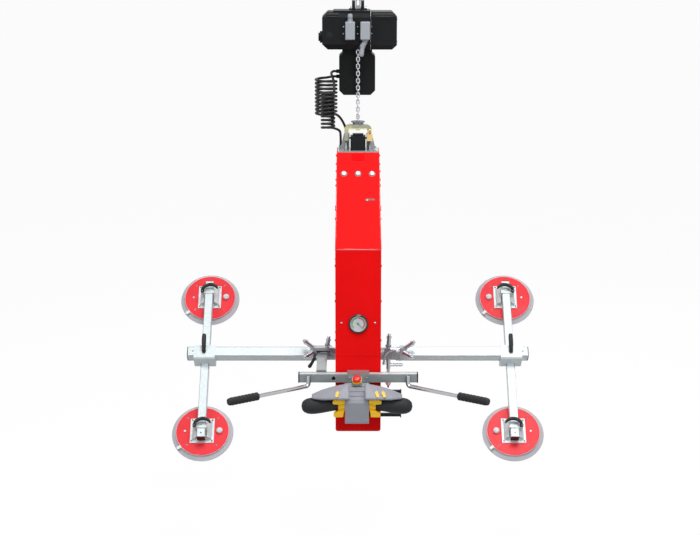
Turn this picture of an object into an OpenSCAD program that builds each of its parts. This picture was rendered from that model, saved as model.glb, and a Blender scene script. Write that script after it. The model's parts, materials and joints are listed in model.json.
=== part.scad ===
// Glass panel lifter: a vacuum lifting device hung from an electric chain hoist.
// Millimetres. The origin is the centre of the hanging bore of the suspension eye,
// +Z is up, +X is to the right of the operator and +Y points from the operator to the pane.

/* [Suspension and hoist] */
// Height of the hanging bore above the suspension pin
eye_rise = 60; // [50:1:80]
// Thickness of the suspension eye
eye_t = 24; // [18:1:25]
// Diameter of the hanging bore
eye_bore_d = 26; // [20:1:30]
// Diameter of the suspension pin
pin_d = 14; // [10:1:16]
// Height of the hoist housing
hoist_h = 178; // [170:1:190]
// Depth of the hoist housing
hoist_depth = 200; // [190:1:220]
// Reach of the main housing to the left
hoist_left = 170; // [150:1:190]
// Place of the joint between main housing and end cover
hoist_joint_x = 58; // [55:1:70]
// Reach of the end cover to the right
hoist_right = 183; // [170:1:200]
// Width of the chain container
box_w = 174; // [150:1:180]
// Height of the chain container
box_h = 207; // [180:1:230]
// Depth of the chain container
box_depth = 150; // [130:1:160]
// Wall of the chain container
box_wall = 4; // [3:0.5:6]

/* [Chain] */
// Wire diameter of a chain link
wire_d = 5.6; // [5:0.1:5.8]
// Inside length of a chain link
chain_pitch = 17.2; // [17:0.1:17.6]
// Outside width of a chain link
link_w = 19; // [18.5:0.1:20]
// Number of links from the load wheel to the end link
link_count = 25; // [25:1:26]
// Diameter of the swivel collar
collar_d = 66; // [56:1:72]

/* [Coiled cables] */
// Diameter of a cable
cable_d = 12; // [10:0.5:12.5]
// Rise of one curl
curl_pitch = 18; // [17:0.5:18.5]
// Radius of the rear coil, to the middle of the cable
coil_a_r = 50; // [46:1:52]
// Radius of the front coil, to the middle of the cable
coil_b_r = 30; // [26:1:32]

/* [Head] */
// Width of the bail over its legs
bail_w = 131; // [120:1:140]
// Width of the bail's bar
bail_bar = 20; // [16:1:22]
// Depth of the bail's bar
bail_depth = 30; // [24:1:32]
// Thickness of the head bracket's plates
cheek_t = 10; // [8:1:12]
// Width of the load sensor
sensor_w = 73; // [60:1:76]

/* [Body] */
// Width of the body
body_w = 215; // [205:1:225]
// Width of the neck at its top
neck_top_w = 204; // [195:1:205]
// Depth of the body
body_depth = 190; // [180:1:195]
// Height of the upright part of the body
body_h = 893; // [870:1:910]
// Height of the sloping neck
neck_h = 408; // [380:5:430]
// How far the neck leans back
neck_back = 326; // [310:2:340]
// Thickness of the body's sheet
sheet_t = 3; // [2:0.5:4]
// Height of the lower cover
cover_h = 380; // [360:1:400]
// Diameter of the gauge's bezel
gauge_d = 92; // [80:1:100]
// Height of the gauge above the body's bottom
gauge_up = 539; // [500:1:560]
// Diameter of an indicator lamp
lamp_d = 22; // [18:1:26]

/* [Handles and controls] */
// Side of the square handle tube
handle_side = 40; // [36:1:44]
// Length of the handle tube
handle_l = 553; // [500:1:600]
// Wall of the handle tube
handle_wall = 3; // [2:0.5:4]
// Gap between the body and the handle tube
handle_gap = 10; // [8:1:14]
// Diameter of a handlebar
bar_d = 20; // [18:1:24]
// Length of a handlebar, from its post to its outer end
bar_l = 437; // [420:1:470]
// Angle of the handlebars towards the operator
bar_angle = 35; // [30:1:40]
// Diameter of a grip
grip_d = 38; // [34:1:42]
// Length of a grip
grip_l = 158; // [140:1:175]
// Width of the pendant's middle block
pendant_w = 112; // [100:1:120]
// Reach of a pendant grip from the pendant's middle
pendant_reach = 260; // [240:2:280]
// Diameter of the emergency stop's button
stop_d = 40; // [32:1:42]

/* [Tilting frame] */
// Lean of the pane from upright, at rest
lean = 45; // [40:1:45]
// Side of the square beam
beam_side = 50; // [48:1:54]
// Length of the beam
beam_l = 1680; // [1660:10:1760]
// Wall of the square tubes
tube_wall = 3; // [2:0.5:4]
// Diameter of the tilt shaft
shaft_d = 48; // [40:1:50]
// Diameter of the bearing barrels
barrel_d = 62; // [58:1:66]
// Distance from the middle of the beam to an arm
arm_x = 758; // [700:2:760]
// Side of a square arm
arm_side = 40; // [36:1:42]
// Length of an arm
arm_l = 880; // [860:5:920]
// Distance from the beam's axis to a cup's centre
cup_reach = 381; // [370:1:385]
// Width of a carriage
carriage_w = 105; // [96:1:110]

/* [Suction cups] */
// Distance from the beam's axis to the pane
pane_offset = 116; // [114:1:120]
// Diameter of a cup's lip
lip_d = 300; // [280:2:310]
// Diameter of a cup's disc
disc_d = 256; // [240:2:260]
// Thickness of a cup's disc
disc_t = 8; // [6:1:9]
// Width of a cup's bracket
bracket_w = 116; // [100:2:120]
// Length of a cup's bracket
bracket_l = 130; // [110:2:132]

/* [Fits] */
// Radial clearance of a shaft in its bearing
run_fit = 0.05; // [0.02:0.01:0.1]
// Gap between pieces that slide or turn past each other
slide_gap = 0.3; // [0.2:0.05:0.5]

/* [Hidden] */
$fn = 48;
eps = 0.01;
pin_z = -eye_rise;
hoist_top = pin_z - 12;
hoist_bottom = hoist_top - hoist_h;
hoist_front = -hoist_depth/2;
lug_gap = eye_t + 4;
lug_t = 15;
lug_rise = 38;
// The chain runs up at Y = 0, over the load wheel and down into the container behind it
pockets = 6;
wheel_r = pockets*2*chain_pitch/(2*PI);
wheel_z = hoist_bottom + 85;
wheel_w = 34;
wheel_shaft_d = 16;
chain_channel = link_w + 9;
box_y = 25;
box_x = -4;
box_bottom = hoist_bottom - box_h - 19;
chain_top = wheel_z + 10;
link_pitch = chain_pitch;
chain_bottom = chain_top - link_count*link_pitch;
collar_h = 15;
collar_top = chain_bottom - 14;
bail_top = collar_top - collar_h;
bail_leg_h = 60;
bail_r = 26;
bail_bottom = bail_top - bail_bar - bail_leg_h;
head_z = bail_bottom - 42;
flange_t = 6;
flange_w = 195;
flange_depth = 150;
neck_top = head_z - flange_t;
sensor_h = 69;
// The body's side outline
body_front = -416;
bend_z = neck_top - neck_h;
body_bottom = bend_z - body_h;
neck_front = body_front + neck_back;
neck_angle = atan2(neck_back, neck_h);
body_back = body_front + body_depth;
neck_rear = neck_front + body_depth;
cover_top = body_bottom + cover_h;
gauge_z = body_bottom + gauge_up;
cover_depth = 100;
corner_r = 20;
// The tilt axis and the frame that turns about it
axis_y = -73;
axis_z = body_bottom + 296;
yoke_x = 92;
yoke_t = 12;
barrel_end = 203;
hub_t = 12;
hub_x = barrel_end + slide_gap;
tube_x = hub_x + hub_t;
hub_d = 72;
// Room that the turning beam and its hubs need in the pieces beside them
beam_sweep_d = hub_d + 2;
arm_y = beam_side/2 + 3 + arm_side/2;
arm_back = arm_y + arm_side/2;
disc_y = pane_offset - 25;
plate_t = 6;
plate_y = disc_y - plate_t;
strap_top = 18;
strap_low = -14;
strap_t = 5;
strap_y = arm_y - arm_side/2 - slide_gap - strap_t;
wall_below = 41;
wall_above = 31;
wall_front = 31;
wall_back = 55;
// The handle tube and what it carries
tube_front = body_front - handle_gap - handle_side;
tube_y = tube_front + handle_side/2;
tube_z = axis_z - 10;
bracket_plate = 4;
post_x = handle_l/2 - 43;
bend_r = 16;
post_y = tube_front - bar_d/2 - 0.5;
bar_z = tube_z - handle_side/2 - 14;
side_arm_x = -174;
side_arm_w = 48;
// The pendant hangs a little left of the middle
pendant_x = -6;
pendant_front = tube_front - 112;
pendant_top = tube_z - handle_side/2 + 1;
grip_axis_y = tube_front - 78;
grip_axis_z = tube_z - 104;
paddle_w = 30;
paddle_x = pendant_w/2 + 1;
grip_x = paddle_x + paddle_w + 2;
paddle_shaft_d = 20;
stop_travel = 4;

// Shapes that repeat

// A box given by its low corner and its high corner
module block(low, high) translate(low) cube(high - low);

// A cylinder from one point along X, Y or Z
module rod_x(at, d, l) translate(at) rotate([0, 90, 0]) cylinder(d = d, h = l);
module rod_y(at, d, l) translate(at) rotate([-90, 0, 0]) cylinder(d = d, h = l);
module rod_z(at, d, l) translate(at) cylinder(d = d, h = l);

// A side outline in Y and Z, made w wide in X about the middle
module side_form(w) translate([-w/2, 0, 0]) rotate([90, 0, 90]) linear_extrude(w) children();

// A front outline in X and Z, made from y0 to y1
module front_form(y0, y1) translate([0, y1, 0]) rotate([90, 0, 0]) linear_extrude(y1 - y0) children();

// A plate outline with cut corners
function cut_box(x0, x1, z0, z1, c) = [[x0 + c, z0], [x1 - c, z0], [x1, z0 + c], [x1, z1 - c],
  [x1 - c, z1], [x0 + c, z1], [x0, z1 - c], [x0, z0 + c]];

// A square tube along Z, open at both ends
module square_tube(side, wall, l) difference() {
  translate([-side/2, -side/2, 0]) cube([side, side, l]);
  translate([-side/2 + wall, -side/2 + wall, -1]) cube([side - 2*wall, side - 2*wall, l + 2]);
}

// The tilting frame's own space: X along the beam, Y towards the pane, Z up the arms
module in_frame() translate([0, axis_y, axis_z]) rotate([-lean, 0, 0]) children();

// Hex head screw along -Y, its head's underside at the given point
module screw_y(at, d, head) translate(at) rotate([90, 0, 0]) cylinder(d = d, h = head, $fn = 6);

// Suspension and hoist

module suspension_eye() color("darkgray") {
  difference() {
    union() {
      rod_x([-eye_t/2, 0, 0], 2*eye_bore_d, eye_t);
      block([-eye_t/2, -13, pin_z], [eye_t/2, 13, 0]);
      rod_x([-eye_t/2, 0, pin_z], pin_d + 9, eye_t);
    }
    rod_x([-eye_t, 0, 0], eye_bore_d, 2*eye_t);
    rod_x([-eye_t, 0, pin_z], pin_d + 2*slide_gap, 2*eye_t);
    block([-eye_t/4, -20, pin_z + 14], [eye_t/4, 20, -eye_bore_d/2 - 8]);
  }
  rod_x([-lug_gap/2 - lug_t - 14, 0, pin_z], pin_d, lug_gap + 2*lug_t + 28);
  // Split pins across the pin's ends
  for (s = [-1, 1]) rod_y([s*(lug_gap/2 + lug_t + 8), -pin_d/2 - 4, pin_z], 3, pin_d + 8);
}

module hoist_outline(x0, x1, cut) intersection() {
  front_form(-hoist_depth/2, hoist_depth/2) polygon(cut_box(x0, x1, hoist_bottom, hoist_top, cut));
  translate([x0 - 60, 0, 0]) rotate([90, 0, 90]) linear_extrude(x1 - x0 + 120)
    polygon(cut_box(-hoist_depth/2, hoist_depth/2, hoist_bottom, hoist_top, cut));
}

module lug(x) difference() {
  union() {
    block([x - lug_t/2, -15, hoist_top - 2], [x + lug_t/2, 15, pin_z]);
    block([x - lug_t/2, -15, pin_z], [x + lug_t/2, 15, pin_z + lug_rise - 15]);
    rod_x([x - lug_t/2, 0, pin_z + lug_rise - 15], 30, lug_t);
  }
  rod_x([x - lug_t, 0, pin_z], pin_d + 2*run_fit, 2*lug_t);
}

module hoist_housing() color("#22262a") difference() {
  union() {
    intersection() {
      hoist_outline(-hoist_left, hoist_joint_x + 30, 26);
      block([-400, -400, hoist_bottom], [hoist_joint_x, 400, hoist_top]);
    }
    // Raised gear case over the middle
    block([-118, -hoist_depth/2 + 18, hoist_top - 30], [hoist_joint_x, hoist_depth/2 - 18, hoist_top + 5]);
    block([-118, -hoist_depth/2 - 4, hoist_bottom + 26], [hoist_joint_x, -hoist_depth/2 + 10,
      hoist_top - 26]);
    for (s = [-1, 1]) lug(s*(lug_gap + lug_t)/2);
    // Round cap of the brake at the left end
    rod_x([-hoist_left - 12, -20, hoist_bottom + 56], 56, 40);
    rod_x([-hoist_left - 19, -20, hoist_bottom + 56], 40, 40);
    // Cooling ribs along the motor's rear face
    for (i = [0 : 5]) block([-hoist_left + 22, hoist_depth/2 - 5, hoist_bottom + 34 + 20*i],
      [-118, hoist_depth/2 + 6, hoist_bottom + 40 + 20*i]);
  }
  // Room for the eye between the lugs
  block([-lug_gap/2, -18, pin_z - pin_d/2 - 7], [lug_gap/2, 18, hoist_top + 20]);
  // Channels for the chain, and the room for the load wheel
  rod_z([0, 0, hoist_bottom - 1], chain_channel, hoist_h - 11);
  rod_z([0, 2*wheel_r, hoist_bottom - 1], chain_channel, wheel_z - hoist_bottom);
  rod_x([-wheel_w/2 - 1, wheel_r, wheel_z], 2*wheel_r + 20, wheel_w + 2);
  rod_x([-45, wheel_r, wheel_z], wheel_shaft_d + 2*run_fit, 90);
}

module hoist_end_cover() color("#26292b") difference() {
  union() {
    intersection() {
      hoist_outline(hoist_joint_x - 60, hoist_right, 22);
      block([hoist_joint_x + 2, -400, hoist_bottom], [hoist_right, 400, hoist_top]);
    }
    block([hoist_joint_x + 2, -hoist_depth/2 - 4, hoist_bottom + 22],
      [hoist_joint_x + 9, hoist_depth/2 + 4, hoist_top - 22]);
    block([hoist_joint_x, -hoist_depth/2 + 12, hoist_bottom + 20],
      [hoist_joint_x + 2, hoist_depth/2 - 12, hoist_top - 20]);
  }
  // Shallow panels pressed into the cover's front and top
  block([hoist_joint_x + 26, -hoist_depth/2 - 1, hoist_bottom + 40],
    [hoist_right - 26, -hoist_depth/2 + 2, hoist_top - 34]);
}

module chain_container() color("#24272a") {
  box_top = hoist_bottom - 19;
  difference() {
    union() {
      intersection() {
        front_form(box_y, box_y + box_depth)
          polygon(cut_box(box_x - box_w/2, box_x + box_w/2, box_bottom, box_top, 22));
        block([-200, 0, box_bottom], [200, 300, box_top]);
      }
      block([box_x - 72, box_y, box_top], [box_x + 72, box_y + 70, hoist_bottom]);
    }
    // The room for the slack chain, open to the hoist above
    front_form(box_y + box_wall, box_y + box_depth - box_wall)
      polygon(cut_box(box_x - box_w/2 + box_wall, box_x + box_w/2 - box_wall,
        box_bottom + box_wall, box_top - box_wall, 20));
    block([box_x - 60, box_y + 8, box_top - 20], [box_x + 60, box_y + 62, hoist_bottom + 1]);
  }
  // Cable glands on the left wall
  rod_x([box_x - box_w/2 - 14, gland_a_y, gland_a_z], cable_d + 6, 14);
  rod_x([box_x - box_w/2 - 14, gland_b_y, gland_b_z], cable_d + 6, 14);
}

hood_w = 46;
hood_h = 84;
hood_depth = 42;
hood_top = hoist_top - 44;
module hood(x) {
  translate([x, hoist_front - 4, hood_top - hood_h]) difference() {
    union() {
      block([-hood_w/2, -hood_depth, 6], [hood_w/2, 0, hood_h - 6]);
      block([-hood_w/2 + 6, -hood_depth, 0], [hood_w/2 - 6, 0, hood_h]);
      for (sx = [-1, 1], z = [6, hood_h - 6])
        rod_y([sx*(hood_w/2 - 6), -hood_depth, z], 12, hood_depth);
    }
    block([-hood_w/2 - 1, -9, -1], [-hood_w/2 + 2, -6, hood_h + 1]);
    block([hood_w/2 - 2, -9, -1], [hood_w/2 + 1, -6, hood_h + 1]);
  }
}
module gland(l) {
  cylinder(d = 26, h = 8, $fn = 6);
  translate([0, 0, 8]) cylinder(d = 22, h = l - 20);
  translate([0, 0, l - 12]) cylinder(d1 = 25, d2 = 20, h = 12, $fn = 24);
}
module plug_hoods() color("#a5aab2") {
  hood(-38);
  hood(33);
  translate([-38, hoist_front - 4 - hood_depth/2, hood_top]) gland(36);
  translate([33, hoist_front - 4 - hood_depth/2, hood_top - hood_h]) rotate([180, 0, 0]) {
    cylinder(d = 28, h = 10, $fn = 6);
    // Elbow that turns the cable down and to the left
    translate([0, 0, 10]) rotate([0, -34, 0]) {
      translate([0, 0, -3]) cylinder(d = 24, h = 28);
      translate([0, 0, 23]) sphere(d = 24);
      translate([0, 0, 22]) rotate([0, 26, 0]) gland(50);
    }
  }
}

module load_wheel() color("dimgray") translate([0, wheel_r, wheel_z]) {
  groove = link_w/2 + 1.2;
  difference() {
    union() {
      rod_x([-wheel_w/2, 0, 0], 2*wheel_r + 8, wheel_w);
      rod_x([-44, 0, 0], wheel_shaft_d, 88);
    }
    difference() {
      rod_x([-groove, 0, 0], 2*wheel_r + 20, 2*groove);
      rod_x([-groove - 1, 0, 0], 2*(wheel_r - link_w/2 - 1), 2*groove + 2);
    }
    // Pockets in both flanges for the links that lie flat
    for (i = [0 : pockets - 1]) rotate([(i + 0.5)*360/pockets, 0, 0])
      block([-groove - 3, wheel_r - 6, -chain_pitch/2], [groove + 3, wheel_r + 20, chain_pitch/2]);
  }
}

// Chain

// One link along Z, its plane turned about Z
module chain_link(turn) rotate([0, 0, turn]) {
  r = (link_w - wire_d)/2;
  half = (chain_pitch + wire_d)/2 - r + slide_gap/2;
  for (s = [-1, 1]) {
    translate([0, 0, s*half]) rotate([90, 0, 0]) rotate([0, 0, s > 0 ? 0 : 180])
      rotate_extrude(angle = 180, $fn = 32) translate([r, 0]) circle(d = wire_d, $fn = 20);
    translate([s*r, 0, -half]) cylinder(d = wire_d, h = 2*half, $fn = 20);
  }
}

module load_chain() color("silver") {
  for (i = [0 : link_count - 1])
    translate([0, 0, chain_top - (i + 0.5)*link_pitch]) chain_link(i % 2 == 0 ? 0 : 90);
  // The end link, joined to the collar by its eye
  translate([0, 0, chain_bottom - 2]) rotate([0, 0, 90]) {
    for (s = [-1, 1]) translate([s*8, 0, -15]) cylinder(d = 6, h = 17);
    translate([0, 0, 2]) rotate([90, 0, 0]) rotate_extrude(angle = 180) translate([8, 0]) circle(d = 6);
  }
}

module swivel_collar() color("#5f6468") {
  difference() {
    union() {
      rod_z([0, 0, collar_top - 5], collar_d, 5);
      rod_z([0, 0, bail_top], collar_d - 14, collar_h - 5);
    }
    rod_z([0, 0, collar_top - 3], 26, 4);
  }
}

// Coiled cables, each one tube along its own route

gland_a_y = 80;
gland_a_z = hoist_bottom - 141;
gland_b_y = 36;
gland_b_z = hoist_bottom - 112;
gland_x = box_x - box_w/2 - 14;
flange_gland_y = 46;
flange_gland_h = 14;
coil_a = [-154, 30, gland_a_z - 6];
coil_b = [-144, -68, gland_a_z - 60];
coil_turns = 9.5;
curl_rings = 8;
lead_end_z = head_z + flange_gland_h;
// Routes of the leads, as points from gland to coil and from coil to gland
lead_a_top = [[gland_x, gland_a_y, gland_a_z], [gland_x - 13, gland_a_y, gland_a_z],
  [coil_a[0] + 22, coil_a[1] + coil_a_r, gland_a_z - 2]];
lead_a_end = [[-124, -20, -560], [-104, -16, -566], [-88, -4, -580], [-74, 14, -603],
  [-62, 34, -632], [-54, 44, -664], [-52, flange_gland_y, -690], [-52, flange_gland_y, lead_end_z + 13],
  [-52, flange_gland_y, lead_end_z]];
lead_b_top = [[gland_x, gland_b_y, gland_b_z], [gland_x - 13, gland_b_y, gland_b_z],
  [-122, 30, -363], [-128, 14, -367], [-127, -8, -374], [-121, -30, -388], [-116, -46, -406],
  [-114, -58, -426]];
lead_b_end = [[-126, -38, -627], [-108, -34, -632], [-94, -20, -640], [-87, 2, -651],
  [-85, 24, -666], [-84, 40, -686], [-84, flange_gland_y, -706], [-84, flange_gland_y, lead_end_z + 13],
  [-84, flange_gland_y, lead_end_z]];

// Points of a helix: centre at the first turn's level, from angle a0 through the given turns
function helix(c, r, a0, turns, way) = let (n = round(turns*curl_rings))
  [for (i = [0 : n]) let (a = a0 + way*360*i/curl_rings)
    [c[0] + r*cos(a), c[1] + r*sin(a), c[2] - curl_pitch*i/curl_rings]];

route_a = concat(lead_a_top, helix(coil_a, coil_a_r, 90, coil_turns, 1), lead_a_end);
route_b = concat(lead_b_top, helix(coil_b, coil_b_r, 0, coil_turns + 0.25, -1), lead_b_end);

function unit(v) = v/norm(v);
// Direction of a route at point i
function heading(p, i) = i == 0 ? unit(p[1] - p[0]) : i == len(p) - 1 ? unit(p[i] - p[i - 1])
  : unit(unit(p[i] - p[i - 1]) + unit(p[i + 1] - p[i]));
// Side vectors carried along the route, each kept square to the heading
function carry(p, i, last) = let (t = heading(p, i), side = last - t*(last*t)) unit(side);
function sides(p, i, last) = i == len(p) ? [] : let (s = carry(p, i, last)) concat([s], sides(p, i + 1, s));

// A tube with n sides along the points of a route
module tube_along(p, d, n, first) {
  across = sides(p, 0, first);
  rings = [for (i = [0 : len(p) - 1]) let (t = heading(p, i), u = across[i], v = cross(t, u))
    for (k = [0 : n - 1]) p[i] + d/2*(u*cos(360*k/n) + v*sin(360*k/n))];
  last = n*(len(p) - 1);
  walls = [for (i = [0 : len(p) - 2], k = [0 : n - 1]) let (a = i*n + k, b = i*n + (k + 1) % n)
    each [[a, b, a + n], [b, b + n, a + n]]];
  ends = concat([for (k = [1 : n - 2]) [0, k + 1, k]],
    [for (k = [1 : n - 2]) [last, last + k, last + k + 1]]);
  polyhedron(rings, [for (f = concat(walls, ends)) [f[2], f[1], f[0]]]);
}

// Least distance between points of a route that lie more than half a turn apart
function own_gap(p, d) = min([for (i = [0 : len(p) - 1], j = [i + 5 : 1 : len(p) - 1]) norm(p[i] - p[j])]) - d;

module coil_cable_rear() color("#1c1d1f") {
  echo(rear_cable_gap = own_gap(route_a, cable_d));
  tube_along(route_a, cable_d, 6, [0, 0, 1]);
}
module coil_cable_front() color("#1c1d1f") {
  echo(front_cable_gap = own_gap(route_b, cable_d));
  tube_along(route_b, cable_d, 6, [0, 0, 1]);
}

// Head between chain and body

module bail() color("#b5b07c") {
  half = bail_w/2;
  inner = half - bail_bar;
  difference() {
    front_form(-bail_depth/2, bail_depth/2) difference() {
      union() {
        translate([-half, bail_bottom]) square([bail_w, bail_top - bail_bottom - bail_r]);
        translate([-half + bail_r, bail_top - bail_r]) square([bail_w - 2*bail_r, bail_r]);
        for (s = [-1, 1]) translate([s*(half - bail_r), bail_top - bail_r]) circle(bail_r);
      }
      translate([-inner, bail_bottom - 1]) square([2*inner, bail_top - bail_bottom - bail_bar - 5]);
      translate([-inner + 6, bail_bottom]) square([2*inner - 12, bail_top - bail_bottom - bail_bar]);
    }
    for (s = [-1, 1]) rod_y([s*(half - bail_bar/2), -50, bail_bottom + 10], 10 + 2*slide_gap, 100);
  }
  // Bolts through the legs and the cheek plates, and the collar's bolt under the bail
  for (s = [-1, 1]) {
    rod_y([s*(half - bail_bar/2), -bail_depth/2 - 1, bail_bottom + 10], 10, bail_depth + cheek_t + 9);
    screw_y([s*(half - bail_bar/2), -bail_depth/2, bail_bottom + 10], 17, 7);
    screw_y([s*(half - bail_bar/2), bail_depth/2 + cheek_t + slide_gap + 8, bail_bottom + 10], 17, 8);
  }
  translate([0, 0, bail_top - bail_bar - 9]) cylinder(d = 19, h = 9, $fn = 6);
}

module bail_lock() color("#d9b36a") {
  x = bail_w/2 - bail_bar/2;
  lock_top = bail_bottom + 34;
  front = -bail_depth/2 - 2;
  difference() {
    block([x - 13, front - 20, lock_top - 32], [x + 15, front, lock_top]);
    // Hollow over the head of the bail's bolt
    rod_y([x, front - 6, bail_bottom + 10], 18, 10);
  }
  for (s = [-1, 1]) rod_z([x + 1 + s*8, front - 10, lock_top - 4], 5, 18);
  translate([x + 1, front - 10, lock_top + 14]) rotate([90, 0, 0]) rotate_extrude(angle = 180)
    translate([8, 0]) circle(d = 5);
  // The hasp that holds it to the bail's leg
  block([x - 4, front, lock_top - 11], [x + 6, front + 2, lock_top - 2]);
}

module load_sensor() color("#1f2326") difference() {
  union() {
    block([-sensor_w/2, -46, head_z], [sensor_w/2, 14, head_z + sensor_h]);
    // Ears at the upper corners, clear of the lock
    for (s = [-1, 1]) block([s*(sensor_w/2 + 1) - 5, -46, head_z + sensor_h - 13],
      [s*(sensor_w/2 + 1) + 5, -36, head_z + sensor_h - 5]);
    block([-26, -30, head_z + sensor_h], [26, 6, head_z + sensor_h + 9]);
  }
  for (s = [-1, 1], z = [6, sensor_h - 6])
    rod_y([s*(sensor_w/2 - 6), -47, head_z + z], 5, 4);
}

module head_bracket() color("#8b9093") {
  inner = sensor_w/2 + 4.5;
  leg = bail_w/2;
  difference() {
    union() {
      // Two flared cheek plates behind the bail's legs
      for (s = [-1, 1]) front_form(bail_depth/2 + slide_gap, bail_depth/2 + slide_gap + cheek_t)
        polygon([for (q = [[inner, head_z], [leg + 18, head_z], [leg + 17, head_z + 14],
          [leg + 2, bail_bottom + 34], [inner, bail_bottom + 34]]) [s*q[0], q[1]]]);
      // Gussets that tie the cheeks to the flange in front
      for (s = [-1, 1]) translate([s*(leg - 8) - 3, 0, 0]) rotate([90, 0, 90]) linear_extrude(6)
        polygon([[-48, head_z], [bail_depth/2 + slide_gap, head_z],
          [bail_depth/2 + slide_gap, bail_bottom - 2], [0, bail_bottom - 2], [-48, head_z + 12]]);
      // Base flange on the neck
      front_form(-flange_depth/2, flange_depth/2)
        polygon(cut_box(-flange_w/2, flange_w/2, head_z - flange_t, head_z, 2));
    }
    for (s = [-1, 1]) rod_y([s*(leg - bail_bar/2), -50, bail_bottom + 10], 10 + 2*slide_gap, 100);
  }
  // Glands that take the two cables through the flange
  for (x = [-52, -84]) rod_z([x, flange_gland_y, head_z], cable_d + 7, flange_gland_h);
  for (x = [-82, 82], y = [-58, 62]) translate([x, y, head_z]) cylinder(d = 15, h = 5, $fn = 6);
}

// Body

// The side outline of the body, its sheet's inside when drawn inwards by w
function side_outline(w) = let (k = w*tan(neck_angle/2), back_bend = bend_z, slope = neck_back/neck_h,
    cut = w*(sqrt(2) - 1))
  [[body_front + w + 30 - cut, body_bottom + w], [body_back - 34 - w*0.6, body_bottom + w],
   [body_back - w, body_bottom + 92 - w*0.2], [body_back - w, back_bend + k],
   [neck_rear - w/cos(neck_angle) - (w + 0)*slope, neck_top - w],
   [neck_front + w/cos(neck_angle) - w*slope, neck_top - w],
   [body_front + w, bend_z - k], [body_front + w, body_bottom + w + 30 - cut],
   for (a = [10 : 20 : 80]) [body_front + 30 - (30 - w)*cos(a), body_bottom + 30 - (30 - w)*sin(a)]];

// The front outline of the body, with rounded lower corners
module front_outline(w) {
  r = corner_r;
  x = body_w/2 - w;
  top = neck_top_w/2 - w;
  polygon([[x, body_bottom + r], [x, bend_z], [top, neck_top + 1], [-top, neck_top + 1],
    [-x, bend_z], [-x, body_bottom + r]]);
  translate([-x + r - w, body_bottom + w]) square([2*(x - r + w), r + 1]);
  for (s = [-1, 1]) translate([s*(x - r + w), body_bottom + r]) circle(r - w);
}

module body_form(w) intersection() {
  side_form(400) polygon(side_outline(w));
  front_form(-700, 400) front_outline(w);
}

// The part of the body that the lower cover takes
module cover_region(gap) block([-300, body_front - 10, body_bottom - 10],
  [300, body_front + cover_depth - gap, cover_top - gap]);

// A frame on the neck's front face: X across, Y up the slope, Z out of the face
module on_neck(x, up) translate([x, body_front + up*neck_back, bend_z + up*neck_h])
  rotate([90 - neck_angle, 0, 0]) children();

lamp_up = 0.78;
latch_up = 0.51;
module body_housing() color("#e02020") difference() {
  union() {
    difference() {
      body_form(0);
      body_form(sheet_t);
    }
    // Shelf that carries the vacuum unit, welded to both side walls
    intersection() {
      body_form(sheet_t - 0.5);
      block([-200, body_front + 60, axis_z + 190], [200, 0, axis_z + 194]);
    }
  }
  cover_region(0);
  rod_y([0, body_front - 5, gauge_z], gauge_d - 8 + 2*slide_gap, 20);
  // Recessed pull at the top of the neck
  on_neck(0, 0.925) block([-34, -20, -2], [34, 60, 10]);
  for (x = [-67, 0, 67]) on_neck(x, lamp_up) translate([0, 0, -10]) cylinder(d = lamp_d + 2*slide_gap, h = 20);
  on_neck(42, latch_up) translate([0, 0, -10]) cylinder(d = 14, h = 20);
  on_neck(62, latch_up) block([-14, -2.5, -10], [14, 2.5, 20]);
}

module lower_cover() color("#d81e1e") {
  difference() {
    intersection() {
      difference() {
        body_form(0);
        body_form(sheet_t);
      }
      cover_region(1);
    }
    // Raised centre tab's shadow line
    block([-41, body_front - 1, cover_top - 72], [-40, body_front + 1.2, cover_top]);
    block([40, body_front - 1, cover_top - 72], [41, body_front + 1.2, cover_top]);
  }
}

module indicator_lamps() color("white") for (x = [-67, 0, 67]) on_neck(x, lamp_up) {
  translate([0, 0, -8]) cylinder(d = lamp_d, h = 8);
  cylinder(d = lamp_d + 5, h = 2);
  translate([0, 0, 2]) difference() {
    sphere(d = lamp_d);
    translate([0, 0, -lamp_d]) cube(2*lamp_d, center = true);
    translate([0, 0, lamp_d + 6]) cube(2*lamp_d, center = true);
  }
}

module vacuum_gauge() color("#2a2a2c") translate([0, body_front, gauge_z]) rotate([90, 0, 0]) {
  difference() {
    union() {
      translate([0, 0, -28]) cylinder(d = gauge_d - 8, h = 28);
      rotate_extrude() polygon([[0, 0], [gauge_d/2, 0], [gauge_d/2, 7], [gauge_d/2 - 5, 11], [0, 11]]);
    }
    translate([0, 0, 4]) cylinder(d = gauge_d - 14, h = 10);
  }
  cylinder(d = 5, h = 6.5);
}

module gauge_needle() color("black") translate([0, body_front - 7, gauge_z]) rotate([90, 0, 0])
  rotate([0, 0, -135]) {
    cylinder(d = 9, h = 1.6);
    translate([-1.6, -9, 0]) cube([3.2, 12, 1.4]);
    linear_extrude(1.4) polygon([[-1.6, 0], [1.6, 0], [0.5, gauge_d/2 - 13], [-0.5, gauge_d/2 - 13]]);
  }

module vacuum_unit() color("slategray") {
  shelf = axis_z + 194 + slide_gap;
  back = body_back - sheet_t - slide_gap;
  // Pump head and motor on the shelf
  block([-70, back - 130, shelf], [70, back, shelf + 12]);
  translate([0, back - 66, shelf + 12]) {
    cylinder(d = 112, h = 130);
    translate([0, 0, 130]) cylinder(d = 96, h = 60);
    translate([0, 0, 190]) cylinder(d1 = 96, d2 = 60, h = 20, $fn = 32);
  }
  // Vacuum reservoir above it, on two saddles from the back wall
  rod_x([-92, back - 60, shelf + 320], 110, 184);
  for (x = [-60, 50]) block([x, back - 30, shelf + 300], [x + 10, back, shelf + 340]);
}

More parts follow.
